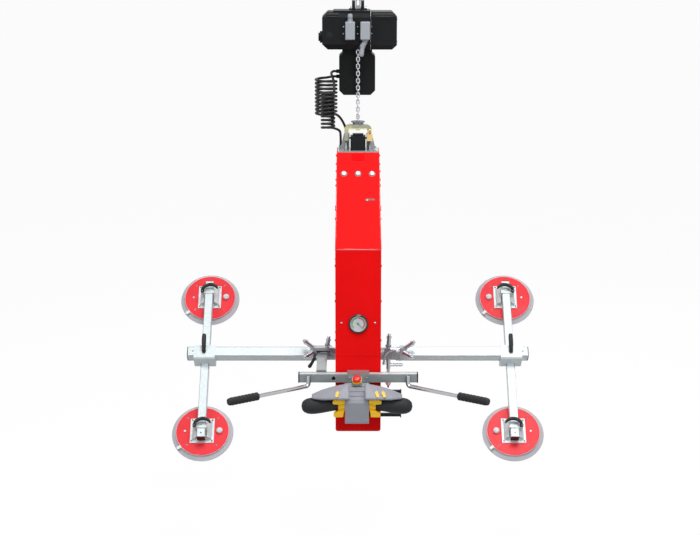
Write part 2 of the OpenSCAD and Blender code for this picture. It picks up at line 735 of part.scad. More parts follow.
module tilt_bearings() color("#9a9fa3") {
  reach = axis_y - body_back;
  difference() {
    union() {
      block([-yoke_x, body_back, axis_z - 90], [yoke_x, body_back + 10, axis_z + 110]);
      for (s = [-1, 1]) translate([s*(yoke_x - yoke_t/2) - yoke_t/2, 0, 0]) {
        block([0, body_back, axis_z - 46], [yoke_t, axis_y, axis_z + 46]);
        rod_x([0, axis_y, axis_z], 92, yoke_t);
        rotate([90, 0, 90]) linear_extrude(yoke_t)
          polygon([[body_back, axis_z + 46], [axis_y - 30, axis_z + 46], [body_back, axis_z + 108]]);
      }
      for (s = [-1, 1]) {
        rod_x([s > 0 ? yoke_x - eps : -barrel_end, axis_y, axis_z], barrel_d, barrel_end - yoke_x + eps);
        rod_x([s > 0 ? barrel_end - 14 : -barrel_end, axis_y, axis_z], barrel_d + 6, 14);
      }
    }
    rod_x([-300, axis_y, axis_z], shaft_d + 2*run_fit, 600);
    // Split of the tilt clamp in the left barrel
    block([-barrel_end - 1, axis_y - 1.5, axis_z + 20], [-barrel_end + 40, axis_y + 1.5, axis_z + 50]);
  }
}

// Handles

module handle_tube() color("#8f9596") {
  difference() {
    translate([-handle_l/2, tube_y, tube_z]) rotate([0, 90, 0]) square_tube(handle_side, handle_wall, handle_l);
    rod_y([-116, tube_front - 1, tube_z], 18, 10);
  }
  // Side arm back to the tilt bearing, its end cut to the barrel
  difference() {
    block([side_arm_x - side_arm_w/2, tube_y + handle_side/2, axis_z - 20],
      [side_arm_x + side_arm_w/2, axis_y - 4, axis_z + 20]);
    rod_x([-barrel_end - 1, axis_y, axis_z], barrel_d + 0.4, barrel_end);
    rod_x([-barrel_end - 1, axis_y, axis_z], barrel_d + 6.4, 15.4);
  }
  // Hub of the tilt lock lever on the arm's outer side
  rod_x([side_arm_x - side_arm_w/2 - 8, axis_y - 78, axis_z], 22, 8);
}

module centre_bracket() color("#7d8385") {
  half = 52;
  // Folded plate that grips the tube: behind, above and in front
  block([-half, tube_y + handle_side/2, tube_z - 34], [half, body_front, tube_z + 26]);
  block([-half + 8, tube_front - bracket_plate, tube_z + handle_side/2],
    [half - 8, tube_y + handle_side/2, tube_z + handle_side/2 + bracket_plate]);
  front_form(tube_front - bracket_plate, tube_front) polygon([[-half, tube_z - handle_side/2 - 60],
    [half, tube_z - handle_side/2 - 60], [half, tube_z + 12], [half - 12, tube_z + handle_side/2 + 4],
    [-half + 12, tube_z + handle_side/2 + 4], [-half, tube_z + 12]]);
  // Wedge under the emergency stop
  difference() {
    translate([pendant_x - 23, 0, 0]) rotate([90, 0, 90]) linear_extrude(46)
      polygon([[tube_front - bracket_plate, tube_z - 34], [tube_front - bracket_plate - 30, tube_z - 26],
        [tube_front - bracket_plate - 30, tube_z], [tube_front - bracket_plate, tube_z + 16]]);
    at_stop() cylinder(d = 100, h = 60);
  }
}

// The handlebar of side s, in a space whose Z runs along the bar from its post
module along_bar(s) translate([s*post_x, post_y, bar_z]) rotate([0, 0, s > 0 ? -bar_angle : 180 + bar_angle])
  rotate([0, 90, 0]) children();

module handlebars() color("#d5d8da") for (s = [-1, 1]) {
  along_bar(s) {
    translate([0, 0, bend_r]) cylinder(d = bar_d, h = bar_l - 6 - bend_r);
    // Bend from the bar up into the post on the tube's front
    translate([-bend_r, 0, bend_r]) rotate([90, 0, 0]) rotate([0, 0, -90])
      rotate_extrude(angle = 90) translate([bend_r, 0]) circle(d = bar_d);
  }
  rod_z([s*post_x, post_y, bar_z + bend_r], bar_d, handle_side + 10 - bend_r);
  // Weld rings where the bend meets the bar and the post
  along_bar(s) translate([0, 0, bend_r - 1.5]) cylinder(d = bar_d + 1, h = 3);
  rod_z([s*post_x, post_y, bar_z + bend_r - 1.5], bar_d + 1, 3);
}

// Ribbed profile of a grip, from radius and length
function grip_profile() = concat([[0, 0], [grip_d/2 - 3, 0]],
  [for (i = [0 : 15]) let (r = grip_d/2 - (i % 2 == 0 ? 0 : 1.4), z = 3 + i*(grip_l - 10)/16)
    each [[r, z], [r, z + (grip_l - 10)/16]]], [[grip_d/2 - 4, grip_l], [0, grip_l]]);

module dark_fittings() color("#26282a") {
  // Grips over the outer ends of the bars
  for (s = [-1, 1]) along_bar(s) translate([0, 0, bar_l - grip_l]) difference() {
    rotate_extrude() polygon(grip_profile());
    translate([0, 0, -1]) cylinder(d = bar_d, h = grip_l - 5);
  }
  // Caps of the handle tube
  for (s = [-1, 1]) {
    block([s*(handle_l/2 + 3) - 3, tube_front - 1, tube_z - handle_side/2 - 1],
      [s*(handle_l/2 + 3) + 3, tube_front + handle_side + 1, tube_z + handle_side/2 + 1]);
    block([s*(handle_l/2 - 6) - 6, tube_front + 5, tube_z - handle_side/2 + 5],
      [s*(handle_l/2 - 6) + 6, tube_front + handle_side - 5, tube_z + handle_side/2 - 5]);
  }
  // Holder frame behind the pendant's right grip
  holder_x = 52;
  block([holder_x, tube_front - 6, tube_z - 74], [holder_x + 14, tube_front, tube_z - 44]);
  front_form(tube_front - 18, tube_front - 2) difference() {
    translate([holder_x, tube_z - 182]) square([150, 128]);
    translate([holder_x + 12, tube_z - 168]) square([130, 98]);
  }
  block([holder_x + 146, tube_front - 24, tube_z - 185], [holder_x + 151, tube_front - 2, tube_z - 51]);
}

// The emergency stop's space: Z out of the button, tilted up and towards the operator
stop_tilt = 40;
module at_stop() translate([pendant_x, tube_front - bracket_plate - 18.5, tube_z - 4])
  rotate([stop_tilt, 0, 0]) children();
module stop_base() color("#e8c020") at_stop() difference() {
  cylinder(d = stop_d + 6, h = 5);
  translate([0, 0, -1]) cylinder(d = 18 + 2*run_fit, h = 8);
}
module stop_button() color("#d81818") at_stop() {
  translate([0, 0, stop_travel + 1]) cylinder(d = 18, h = 6 + stop_travel);
  translate([0, 0, 6 + stop_travel]) rotate_extrude() polygon([[0, 0], [stop_d/2 - 6, 0],
    [stop_d/2, 3], [stop_d/2, 7], [stop_d/2 - 3, 11], [stop_d/2 - 9, 13.5], [0, 14.5]]);
}

// Pendant control

module at_grips() translate([pendant_x, grip_axis_y, grip_axis_z]) children();

// Stations of a wing: place across, its top edge, its front and back lower edges
STATIONS = [[44, [0, 94], [-44, 44], [34, 36]], [108, [4, 80], [-44, 44], [34, 36]],
  [160, [4, 64], [-38, 41], [30, 38]], [204, [0, 46], [-18, 39], [16, 38]]];
module station(i) for (q = [1, 2, 3])
  translate([STATIONS[i][0], STATIONS[i][q][0], STATIONS[i][q][1]]) sphere(r = i == 3 ? 7 : 8, $fn = 20);
module wing() for (i = [0 : 2]) hull() {
  station(i);
  station(i + 1);
}

// A grip about its own axis, drooping a little, grown by w
grip_droop = 3;
GRIP = [[0, 26], [18, 28], [44, 31], [74, 35], [104, 38], [128, 38], [145, 35], [159, 28], [168, 18]];
module grip_form(w) translate([grip_x, 0, 0]) rotate([0, 90 + grip_droop, 0])
  scale([1, 1, (pendant_reach - grip_x)/172]) rotate_extrude()
    polygon(concat([[0, -w], [GRIP[0][1] + w, -w]], [for (g = GRIP) [g[1] + w, g[0]]], [[0, 172 + w]]));

module paddle_room() translate([pendant_w/2 - eps, 0, 0]) rotate([0, 90, 0])
  cylinder(r1 = 65, r2 = 52, h = 70);

module pendant_shell() color("#80858c") difference() {
  at_grips() {
    difference() {
      for (s = [0, 1]) mirror([s, 0, 0]) wing();
      for (s = [0, 1]) mirror([s, 0, 0]) {
        grip_form(slide_gap);
        paddle_room();
      }
    }
    translate([0, -grip_axis_y, -grip_axis_z]) side_form(pendant_w) polygon([[tube_front - bracket_plate, pendant_top - 8],
      [tube_front - 14, pendant_top], [pendant_front + 6, pendant_top - 54], [pendant_front, pendant_top - 68],
      [pendant_front + 10, pendant_top - 162], [pendant_front + 32, pendant_top - 178],
      [tube_front - 30, pendant_top - 172], [tube_front - bracket_plate, pendant_top - 150]]);
  }
  // Room behind for the tube, the bracket, the wedge and the emergency stop
  block([-100, tube_front - bracket_plate, pendant_top - 300], [100, 0, pendant_top + 90]);
  at_stop() translate([0, 0, -4]) cylinder(d = stop_d + 9, h = 60);
  translate([pendant_x - 24, 0, 0]) rotate([90, 0, 90]) linear_extrude(48)
    polygon([[tube_front, tube_z - 36], [tube_front - bracket_plate - 31, tube_z - 28],
      [tube_front - bracket_plate - 31, tube_z + 20], [tube_front, tube_z + 20]]);
  // Three grooves across the sloping top
  for (i = [0 : 2]) translate([pendant_x, tube_front - 34 - 26*i, pendant_top - 12 - 15*i])
    rotate([30, 0, 0]) block([-46, -1.5, -4], [46, 1.5, 20]);
  for (s = [-1, 1]) translate([pendant_x, grip_axis_y, grip_axis_z]) mirror([s > 0 ? 0 : 1, 0, 0])
    rod_x([pendant_w/2 - 20, 0, 0], paddle_shaft_d - 2*run_fit, 40);
  for (b = BUTTONS) button_at(b) translate([0, 0, -8]) capsule(button_w + 2*slide_gap, 9 + slide_gap, 40);
}

module pendant_grips() color("#2c2e31") at_grips() for (s = [0, 1]) mirror([s, 0, 0]) {
  grip_form(0);
  // Shaft through the paddle into the middle block
  rod_x([pendant_w/2 - 20, 0, 0], paddle_shaft_d - 2*run_fit, grip_x - pendant_w/2 + 22);
}

module paddle(s) color("#e8b320") at_grips() mirror([s > 0 ? 0 : 1, 0, 0]) difference() {
  union() {
    rod_x([paddle_x, 0, 0], 62, paddle_w);
    // Thumb tabs above and below that reach out over the grip
    front_form(-40, -18) polygon([[paddle_x, 16], [paddle_x, 48], [paddle_x + 12, 48], [paddle_x + 52, 31],
      [paddle_x + 57, 24], [paddle_x + 54, 14], [paddle_x + 30, 12]]);
    front_form(-36, -8) polygon([[paddle_x + 4, -20], [paddle_x + 8, -50], [paddle_x + 48, -51],
      [paddle_x + 53, -44], [paddle_x + 50, -32], [paddle_x + 34, -24]]);
  }
  rod_x([paddle_x - 1, 0, 0], paddle_shaft_d, paddle_w + 2);
  rod_x([paddle_x + paddle_w, 0, 0], 66, 60);
}

BUTTONS = [[-92, 0], [93, 1], [124, 2]];
button_w = 14;
// Place of a button on the front of a wing: Y up the slope, Z out of it
module button_at(b) translate([pendant_x + b[0], grip_axis_y - 40, grip_axis_z + 61])
  rotate([51, 0, 0]) rotate([0, 0, b[0] > 0 ? 18 : -18]) children();
module capsule(w, l, h) {
  translate([-w/2, -l, 0]) cube([w, 2*l, h]);
  for (s = [-1, 1]) translate([0, s*l, 0]) cylinder(d = w, h = h);
}
module button(i) color("#efc12e") button_at(BUTTONS[i]) translate([0, 0, -5]) capsule(button_w, 9, 9);

// Hose couplings

module coupler(l) {
  cylinder(d = 28, h = 9, $fn = 6);
  translate([0, 0, 9]) cylinder(d = 21, h = l - 20);
  translate([0, 0, l - 16]) cylinder(d = 26, h = 9);
  translate([0, 0, l - 7]) cylinder(d = 16, h = 7);
  translate([0, 0, l]) cylinder(d1 = 19, d2 = 15, h = 5, $fn = 24);
}
module barbed(l) {
  for (i = [0 : 3]) translate([0, 0, i*l/4]) cylinder(d1 = 18, d2 = 12, h = l/4, $fn = 24);
}
module hose_couplings() color("#c9cdd1") {
  front = axis_y - barrel_d/2 - 22;
  // Left: a block on the barrel with a fork of two couplers and one standing up
  difference() {
    union() {
      block([-232, front, axis_z + 6], [-205, axis_y - 26, axis_z + 44]);
      block([-232, front, axis_z + 30], [-126, axis_y - 4, axis_z + 44]);
      rod_z([-150, front + 16, axis_z + 44], 20, 10);
    }
    rod_x([-300, axis_y, axis_z], barrel_d + 6.6, 600);
    rod_x([-260, axis_y, axis_z], beam_sweep_d, 60);
  }
  translate([-218, front + 12, axis_z + 40]) rotate([10, -48, 0]) coupler(62);
  translate([-220, front + 2, axis_z + 22]) rotate([30, -112, 0]) coupler(50);
  translate([-150, front + 16, axis_z + 54]) rotate([12, 10, 0]) coupler(48);
  // Right: a standing pipe with a valve, a cross pipe and a fork, and a hose barb below
  difference() {
    union() {
      rod_z([150, front + 6, axis_z - 62], 22, 112);
      block([134, front - 6, axis_z - 12], [240, axis_y - 6, axis_z + 44]);
    }
    rod_x([100, axis_y, axis_z], barrel_d + 6.6, 200);
    rod_x([tube_x - 14, axis_y, axis_z], beam_sweep_d, 54);
    block([168, front - 8, axis_z - 14], [204, front + 10, axis_z + 12]);
    block([160, front - 8, axis_z + 28], [206, axis_y, axis_z + 46]);
  }
  translate([150, front + 6, axis_z + 50]) rotate([0, 4, 0]) coupler(60);
  rod_x([158, front + 8, axis_z + 34], 18, 60);
  translate([224, front + 12, axis_z + 34]) rotate([10, 52, 0]) coupler(66);
  translate([226, front + 2, axis_z + 20]) rotate([30, 112, 0]) coupler(50);
  translate([158, front + 6, axis_z - 44]) rotate([0, 90, 0]) barbed(64);
  translate([150, front + 6, axis_z - 62]) rotate([180, 0, 0]) cylinder(d = 17, h = 16, $fn = 6);
  // Round adjusting knob beside the neck of the left barrel
  rod_y([-120, front + 2, axis_z + 30], 26, 20);
}

// The tilt lock lever hangs beside the side arm, bent outwards
lock_x = side_arm_x - side_arm_w/2 - 8 - slide_gap;
module tilt_lock_lever() color("#1d1e20") translate([lock_x, axis_y - 78, axis_z]) {
  rod_x([-13, 0, 0], 24, 13);
  hull() {
    translate([-8, 0, -3]) sphere(d = 15, $fn = 20);
    translate([-18, -4, -22]) sphere(d = 15, $fn = 20);
  }
  hull() {
    translate([-18, -4, -22]) sphere(d = 15, $fn = 20);
    translate([-30, -6, -40]) sphere(d = 19, $fn = 20);
  }
}

// Tilting frame

module beam() color("#d8dcdf") in_frame() {
  rod_x([-tube_x, 0, 0], shaft_d, 2*tube_x);
  for (s = [-1, 1]) {
    rod_x([s > 0 ? hub_x : -hub_x - hub_t, 0, 0], hub_d, hub_t);
    difference() {
      translate([s > 0 ? tube_x : -beam_l/2, 0, 0]) rotate([0, 90, 0])
        square_tube(beam_side, tube_wall, beam_l/2 - tube_x);
      // Holes for the stop screws near the ends
      rod_y([s*(beam_l/2 - 24), -beam_side, 0], 7, beam_side);
    }
    // Stop screw whose head keeps the carriage on the beam
    translate([s*(beam_l/2 - 24), -beam_side/2, 0]) rotate([90, 0, 0]) cylinder(d = 10, h = 3, $fn = 6);
    rod_y([s*(beam_l/2 - 24), -beam_side/2, 0], 6, 8);
  }
}

module beam_caps() color("#1b1c1e") in_frame() for (s = [-1, 1]) {
  inner = beam_side - 2*tube_wall - 1;
  block([s*(beam_l/2 + 2) - 2, -beam_side/2, -beam_side/2], [s*(beam_l/2 + 2) + 2, beam_side/2, beam_side/2]);
  block([s*(beam_l/2 - 6) - 6, -inner/2, -inner/2], [s*(beam_l/2 - 6) + 6, inner/2, inner/2]);
}

module carriage(s) color("#c3c8cc") in_frame() translate([s*arm_x, 0, 0]) {
  clear_beam = beam_side/2 + slide_gap;
  clear_arm = arm_side/2 + slide_gap;
  half = carriage_w/2;
  difference() {
    union() {
      block([-half, -wall_front, -wall_below], [half, wall_back, wall_above]);
      // Strap behind the arm
      block([-half, wall_back, -wall_below + 10], [half, arm_back + slide_gap + 4, wall_above - 8]);
    }
    block([-half - 1, -clear_beam, -clear_beam], [half + 1, clear_beam, clear_beam]);
    block([-clear_arm, arm_y - clear_arm, -wall_below - 1], [clear_arm, arm_y + clear_arm, wall_above + 1]);
    // Rounded relief under the front edge
    rod_x([-half - 1, -wall_front - 4, -wall_below - 4], 20, carriage_w + 2);
    rod_y([-2, -wall_front - 1, -4], 10 + 2*run_fit, 8);
  }
}

module clamp_lever(s) color("#1b1c1e") in_frame() translate([s*arm_x - 2, -wall_front, -4]) {
  rod_y([0, -12, 0], 20, 12 - slide_gap);
  rod_y([0, -2, 0], 10, 7);
  hull() {
    translate([0, -11, 0]) sphere(d = 17, $fn = 20);
    translate([0, -26, 40]) sphere(d = 13, $fn = 20);
  }
  hull() {
    translate([0, -26, 40]) sphere(d = 13, $fn = 20);
    translate([2, -30, 72]) sphere(d = 16, $fn = 20);
  }
}

module arm(s) color("#dfe3e5") in_frame() translate([s*arm_x, arm_y, -arm_l/2]) {
  square_tube(arm_side, tube_wall, arm_l);
  // End caps, and the stop screws that keep the cups on
  for (z = [0, arm_l - 4]) block([1 - arm_side/2, 1 - arm_side/2, z], [arm_side/2 - 1, arm_side/2 - 1, z + 4]);
  for (z = [20, arm_l - 20]) screw_y([0, -arm_side/2, z], 10, 3);
}

// Suction cups, each drawn about its own centre in the frame's space

module at_cup(sx, sz) in_frame() translate([sx*arm_x, 0, sz*cup_reach]) mirror([sx > 0 ? 1 : 0, 0, 0])
  children();

module cup_disc(sx, sz) color("#e23c42") at_cup(sx, sz) translate([0, disc_y, 0]) rotate([-90, 0, 0]) {
  rotate_extrude($fn = 96) polygon([[0, 0], [disc_d/2 - 4, 0], [disc_d/2, 3], [disc_d/2, disc_t], [0, disc_t]]);
}

module cup_lip(sx, sz) color("#c9cbd0") at_cup(sx, sz) translate([0, disc_y + disc_t, 0]) rotate([-90, 0, 0]) {
  h = pane_offset - disc_y - disc_t;
  rotate_extrude($fn = 96) polygon([[0, 0], [disc_d/2 + 3, 0], [disc_d/2 + 5, 4], [lip_d/2 - 2, h - 2],
    [lip_d/2, h], [lip_d/2 - 8, h], [disc_d/2 - 10, 6], [0, 6]]);
}

valve_x = 84;
module cup_bracket(sx, sz) color("#ccd2d6") at_cup(sx, sz) {
  in = arm_side/2 + slide_gap;
  out = in + strap_t;
  difference() {
    union() {
      block([-bracket_w/2, plate_y, -bracket_l/2], [bracket_w/2, plate_y + plate_t, bracket_l/2]);
      // Side walls of the strap, and the strap over the arm
      for (s = [-1, 1]) block([s*(in + strap_t/2) - strap_t/2, strap_y, strap_low],
        [s*(in + strap_t/2) + strap_t/2, plate_y, strap_top]);
      block([-out, strap_y, strap_low], [out, strap_y + strap_t, strap_top]);
      // Folded side flanges that stiffen the plate
      for (s = [-1, 1]) translate([0, 0, -bracket_l/2 + 18]) linear_extrude(bracket_l - 36)
        polygon([for (q = [[out, plate_y], [bracket_w/2 - 10, plate_y], [bracket_w/2 - 16, plate_y - 14],
          [out, plate_y - 30]]) [s*q[0], q[1]]]);
      // Lug of the clamp lever
      rod_y([-out - 7, strap_y - 2, lever_z], 18, 40);
    }
    rod_y([0, strap_y - 1, (strap_top + strap_low)/2], 8, strap_t + 2);
  }
  for (x = [-1, 1], z = [-1, 1]) screw_y([x*(bracket_w/2 - 9), plate_y, z*(bracket_l/2 - 9)], 10, 4);
  // Round valve knob on the inner side, and a plug screw on the outer side
  translate([valve_x, disc_y, 0]) rotate([90, 0, 0]) rotate_extrude()
    polygon([[0, 0], [9, 0], [9, 4], [15, 5], [15, 12], [12, 17], [6, 19], [0, 19.5]]);
  screw_y([-valve_x, disc_y, 0], 11, 4);
}

lever_z = -6;
lever_r = 44;
lever_start = 160;
module cup_lever(sx, sz) color("#1b1c1e") at_cup(sx, sz)
  translate([-arm_side/2 - slide_gap - strap_t - 7, strap_y - 2 - slide_gap, lever_z]) {
    rod_y([0, -12, 0], 18, 12);
    // Curved handle that crosses over the arm
    translate([-lever_r*cos(lever_start), -11, -lever_r*sin(lever_start)]) rotate([90, 0, 0])
      rotate([0, 0, 36]) rotate_extrude(angle = lever_start - 36) translate([lever_r, 0]) circle(d = 9);
  }

suspension_eye();
hoist_housing();
hoist_end_cover();
chain_container();
plug_hoods();
load_wheel();
coil_cable_rear();
coil_cable_front();
load_chain();
swivel_collar();
bail();
bail_lock();
load_sensor();
head_bracket();
body_housing();
lower_cover();
indicator_lamps();
vacuum_gauge();
gauge_needle();
tilt_bearings();
handle_tube();
centre_bracket();
dark_fittings();
handlebars();
stop_base();
stop_button();
pendant_shell();
pendant_grips();
paddle(-1);  // paddle_left
paddle(1);  // paddle_right
button(0);  // button_left
button(1);  // button_inner
button(2);  // button_outer
hose_couplings();
tilt_lock_lever();
vacuum_unit();
beam();
beam_caps();
carriage(-1);  // carriage_left
carriage(1);  // carriage_right
clamp_lever(-1);  // clamp_lever_left
clamp_lever(1);  // clamp_lever_right
arm(-1);  // arm_left
arm(1);  // arm_right
cup_disc(-1, 1);  // disc_upper_left
cup_lip(-1, 1);  // lip_upper_left
cup_bracket(-1, 1);  // bracket_upper_left
cup_lever(-1, 1);  // lever_upper_left
cup_disc(1, 1);  // disc_upper_right
cup_lip(1, 1);  // lip_upper_right
cup_bracket(1, 1);  // bracket_upper_right
cup_lever(1, 1);  // lever_upper_right
cup_disc(-1, -1);  // disc_lower_left
cup_lip(-1, -1);  // lip_lower_left
cup_bracket(-1, -1);  // bracket_lower_left
cup_lever(-1, -1);  // lever_lower_left
cup_disc(1, -1);  // disc_lower_right
cup_lip(1, -1);  // lip_lower_right
cup_bracket(1, -1);  // bracket_lower_right
cup_lever(1, -1);  // lever_lower_right
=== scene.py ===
import json
import math

import bmesh
import bpy
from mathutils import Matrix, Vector


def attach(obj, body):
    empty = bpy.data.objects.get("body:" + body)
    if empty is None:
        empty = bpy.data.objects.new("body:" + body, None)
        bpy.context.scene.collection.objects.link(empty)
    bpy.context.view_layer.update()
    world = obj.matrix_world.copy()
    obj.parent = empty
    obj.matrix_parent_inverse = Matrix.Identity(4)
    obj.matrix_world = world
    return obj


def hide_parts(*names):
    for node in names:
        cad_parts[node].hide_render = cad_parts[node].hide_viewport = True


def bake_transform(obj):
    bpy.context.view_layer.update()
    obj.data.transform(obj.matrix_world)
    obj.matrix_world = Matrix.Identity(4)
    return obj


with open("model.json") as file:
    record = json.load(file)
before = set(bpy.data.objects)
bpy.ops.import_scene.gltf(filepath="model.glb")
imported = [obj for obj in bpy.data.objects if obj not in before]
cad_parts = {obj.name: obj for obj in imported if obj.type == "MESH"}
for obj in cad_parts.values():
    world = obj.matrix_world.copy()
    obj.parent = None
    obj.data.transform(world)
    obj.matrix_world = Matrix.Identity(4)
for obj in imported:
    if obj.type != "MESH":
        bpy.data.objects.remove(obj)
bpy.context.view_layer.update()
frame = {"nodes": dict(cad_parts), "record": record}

# Shapes are given in the CAD's millimetres; camera, lights and floor in metres
MM = 0.001
RIGHT, LEFT = (1, 0, 0), (-1, 0, 0)
FRONT, BACK = (0, -1, 0), (0, 1, 0)
UP, DOWN = (0, 0, 1), (0, 0, -1)
SIDES = ((-1, "left"), (1, "right"))
WHITE = (1.0, 1.0, 1.0, 1.0)


# Camera and lights
CAMERA_PLACE = (-0.0385, -7.390, 0.3128)
CAMERA_PITCH = 77.5
CAMERA_LENS = 78.74
SENSOR_WIDTH = 36.0
SIGHT_LENGTH = 400.0

# Name, place, target, side and power in watts
SOFTBOXES = (
    ("softbox_top", (0.5, -2.6, 3.6), (0.0, -0.3, -1.2), 2.6, 215),
    ("softbox_left", (-4.2, -4.6, 1.2), (0.0, -0.2, -1.3), 2.4, 85),
    ("softbox_right", (4.2, -4.8, 1.0), (0.0, -0.2, -1.4), 2.4, 95),
    ("softbox_back", (1.5, 4.6, 1.8), (0.0, 0.1, -1.2), 2.6, 45),
)


def set_camera():
    """The photograph's own view: about 7.4 m in front of the lifter, a little above its hoist."""
    data = bpy.data.cameras.new("camera")
    data.lens = CAMERA_LENS
    data.sensor_width = SENSOR_WIDTH
    data.clip_end = SIGHT_LENGTH
    camera = bpy.data.objects.new("camera", data)
    camera.location = CAMERA_PLACE
    camera.rotation_euler = (math.radians(CAMERA_PITCH), 0.0, 0.0)
    bpy.context.scene.collection.objects.link(camera)
    bpy.context.scene.camera = camera


def softbox(name, place, target, side, power):
    """A square soft light at a place, turned to its target."""
    data = bpy.data.lights.new(name, "AREA")
    data.size = side
    data.energy = power
    light = bpy.data.objects.new(name, data)
    light.location = place
    light.rotation_euler = (Vector(target) - Vector(place)).to_track_quat("-Z", "Y").to_euler()
    bpy.context.scene.collection.objects.link(light)


set_camera()
for row in SOFTBOXES:
    softbox(*row)


# Node trees
class Value:
    """A number that changes over a surface; arithmetic on it adds Math nodes."""

    def __init__(self, nodes, socket):
        self.nodes = nodes
        self.socket = socket

    def math(self, operation, first, second):
        """A Math node with two terms, each a Value or a plain number."""
        node = self.nodes.node("ShaderNodeMath", {"operation": operation}, {0: first, 1: second})
        return Value(self.nodes, node.outputs[0])

    def __add__(self, other):
        return self.math("ADD", self, other)

    def __radd__(self, other):
        return self.math("ADD", other, self)

    def __sub__(self, other):
        return self.math("SUBTRACT", self, other)

    def __rsub__(self, other):
        return self.math("SUBTRACT", other, self)

    def __mul__(self, other):
        return self.math("MULTIPLY", self, other)

    def __rmul__(self, other):
        return self.math("MULTIPLY", other, self)

    def between(self, low, high):
        """0 at the low value and 1 at the high one, held inside that range."""
        node = self.nodes.node("ShaderNodeMapRange", {}, {0: self, 1: low, 2: high})
        return Value(self.nodes, node.outputs[0])


class Nodes:
    """A node tree, with the one method that makes its nodes."""

    def __init__(self, tree):
        self.tree = tree

    def node(self, kind, settings=None, inputs=None):
        """A node of any type: its settings first, then its sockets' values or links.

        A list links several outputs to one socket.
        """
        node = self.tree.nodes.new(kind)
        for key, value in (settings or {}).items():
            setattr(node, key, value)
        for key, value in (inputs or {}).items():
            for term in value if isinstance(value, list) else [value]:
                if isinstance(term, Value):
                    term = term.socket
                if isinstance(term, bpy.types.NodeSocket):
                    self.tree.links.new(term, node.inputs[key])
                else:
                    node.inputs[key].default_value = term
        return node

    def seen(self):
        """1 for what shows by itself, in a reflection or through glass, and 0 for light alone."""
        rays = self.node("ShaderNodeLightPath").outputs
        shown = Value(self, rays["Is Camera Ray"]) + Value(self, rays["Is Glossy Ray"])
        return (shown + Value(self, rays["Is Transmission Ray"])).between(0.0, 1.0)


# Surface finishes
COAT_ROUGHNESS = 0.08
MIX_A, MIX_B, MIX_RESULT = 6, 7, 2  # a Mix node's colour sockets, which share names with others
DUST_COLOUR = (0.55, 0.53, 0.50)
FINE_DETAIL = 2.0
EVEN = (1.0, 1.0, 1.0)


class Finish(Nodes):
    """One material, built on a Principled shader."""

    def __init__(self, name, colour, roughness, metallic=0.0, coat=0.0, specular=0.5):
        self.material = bpy.data.materials.new(name)
        self.material.use_nodes = True
        super().__init__(self.material.node_tree)
        self.name = name
        self.shader = self.tree.nodes["Principled BSDF"]
        self.output = self.tree.nodes["Material Output"]
        self.colour = colour
        self.material.diffuse_color = (*colour, 1.0)
        for socket, value in (("Base Color", (*colour, 1.0)), ("Roughness", roughness),
                              ("Metallic", metallic), ("Coat Weight", coat),
                              ("Coat Roughness", COAT_ROUGHNESS), ("Specular IOR Level", specular)):
            self.shader.inputs[socket].default_value = value

    def place(self, stretch=EVEN):
        """Object coordinates, stretched along the axes."""
        coordinates = self.node("ShaderNodeTexCoord").outputs["Object"]
        node = self.node("ShaderNodeMapping", {}, {"Vector": coordinates, "Scale": stretch})
        return node.outputs[0]

    def noise(self, scale, detail=3.0, stretch=EVEN):
        """Noise from 0 to 1 on the object's own coordinates."""
        node = self.node("ShaderNodeTexNoise", {},
                         {"Vector": self.place(stretch), "Scale": scale, "Detail": detail})
        return Value(self, node.outputs["Fac"])

    def facing_up(self):
        """1 on level faces that look up and 0 on walls and undersides."""
        normal = self.node("ShaderNodeTexCoord").outputs["Normal"]
        apart = self.node("ShaderNodeSeparateXYZ", {}, {"Vector": normal})
        return Value(self, apart.outputs["Z"]).between(0.55, 1.0)

    def tint(self, base, colour, amount):
        """The base colour turned towards another colour by an amount."""
        base, colour = (end if isinstance(end, bpy.types.NodeSocket) else (*end, 1.0)
                        for end in (base, colour))
        node = self.node("ShaderNodeMix", {"data_type": "RGBA"},
                         {"Factor": amount, MIX_A: base, MIX_B: colour})
        return node.outputs[MIX_RESULT]

    def shade(self, factor):
        """The finish's own colour, made lighter or darker."""
        return tuple(min(1.0, channel * factor) for channel in self.colour)

    def wire(self, name, source):
        """Links a Value or a socket to one input of the shader."""
        source = source.socket if isinstance(source, Value) else source
        self.tree.links.new(source, self.shader.inputs[name])

    def relief(self, height, depth, strength=0.6):
        """A fine relief, as a bump of that depth in metres."""
        bump = self.node("ShaderNodeBump", {},
                         {"Height": height, "Distance": depth, "Strength": strength})
        self.wire("Normal", bump.outputs[0])


def surface(name, colour, roughness, metallic=0.0, coat=0.0, mottle=0.06, grain=600.0,
            depth=0.00012, spread=0.10, dust=0.0, stretch=EVEN, specular=0.3):
    """A finish with mottled colour, uneven gloss, fine relief and some dust on what faces up."""
    made = Finish(name, colour, roughness, metallic, coat, specular)
    cloud = made.noise(scale=7.0, detail=4.0)
    fine = made.noise(grain, FINE_DETAIL, stretch)
    tinted = made.tint(made.shade(1.0 - mottle), made.shade(1.0 + mottle), cloud.between(0.3, 0.7))
    if dust:
        specks = made.facing_up() * made.noise(scale=38.0, detail=5.0).between(0.35, 0.8)
        tinted = made.tint(tinted, DUST_COLOUR, specks * dust)
    made.wire("Base Color", tinted)
    made.wire("Roughness", roughness + (cloud - 0.5) * spread + (fine - 0.5) * spread)
    made.relief(fine, depth)
    return made


def powder_coat(name, colour, roughness=0.34, coat=0.25, dust=0.05, specular=0.3):
    """Sprayed paint with its soft orange-peel relief."""
    return surface(name, colour, roughness, coat=coat, mottle=0.035, grain=260.0, depth=0.00010,
                   spread=0.08, dust=dust, specular=specular)


def moulded(name, colour, roughness=0.5, dust=0.08, specular=0.3):
    """Moulded plastic with a fine spark texture."""
    return surface(name, colour, roughness, mottle=0.05, grain=1400.0, depth=0.00008,
                   spread=0.12, dust=dust, specular=specular)


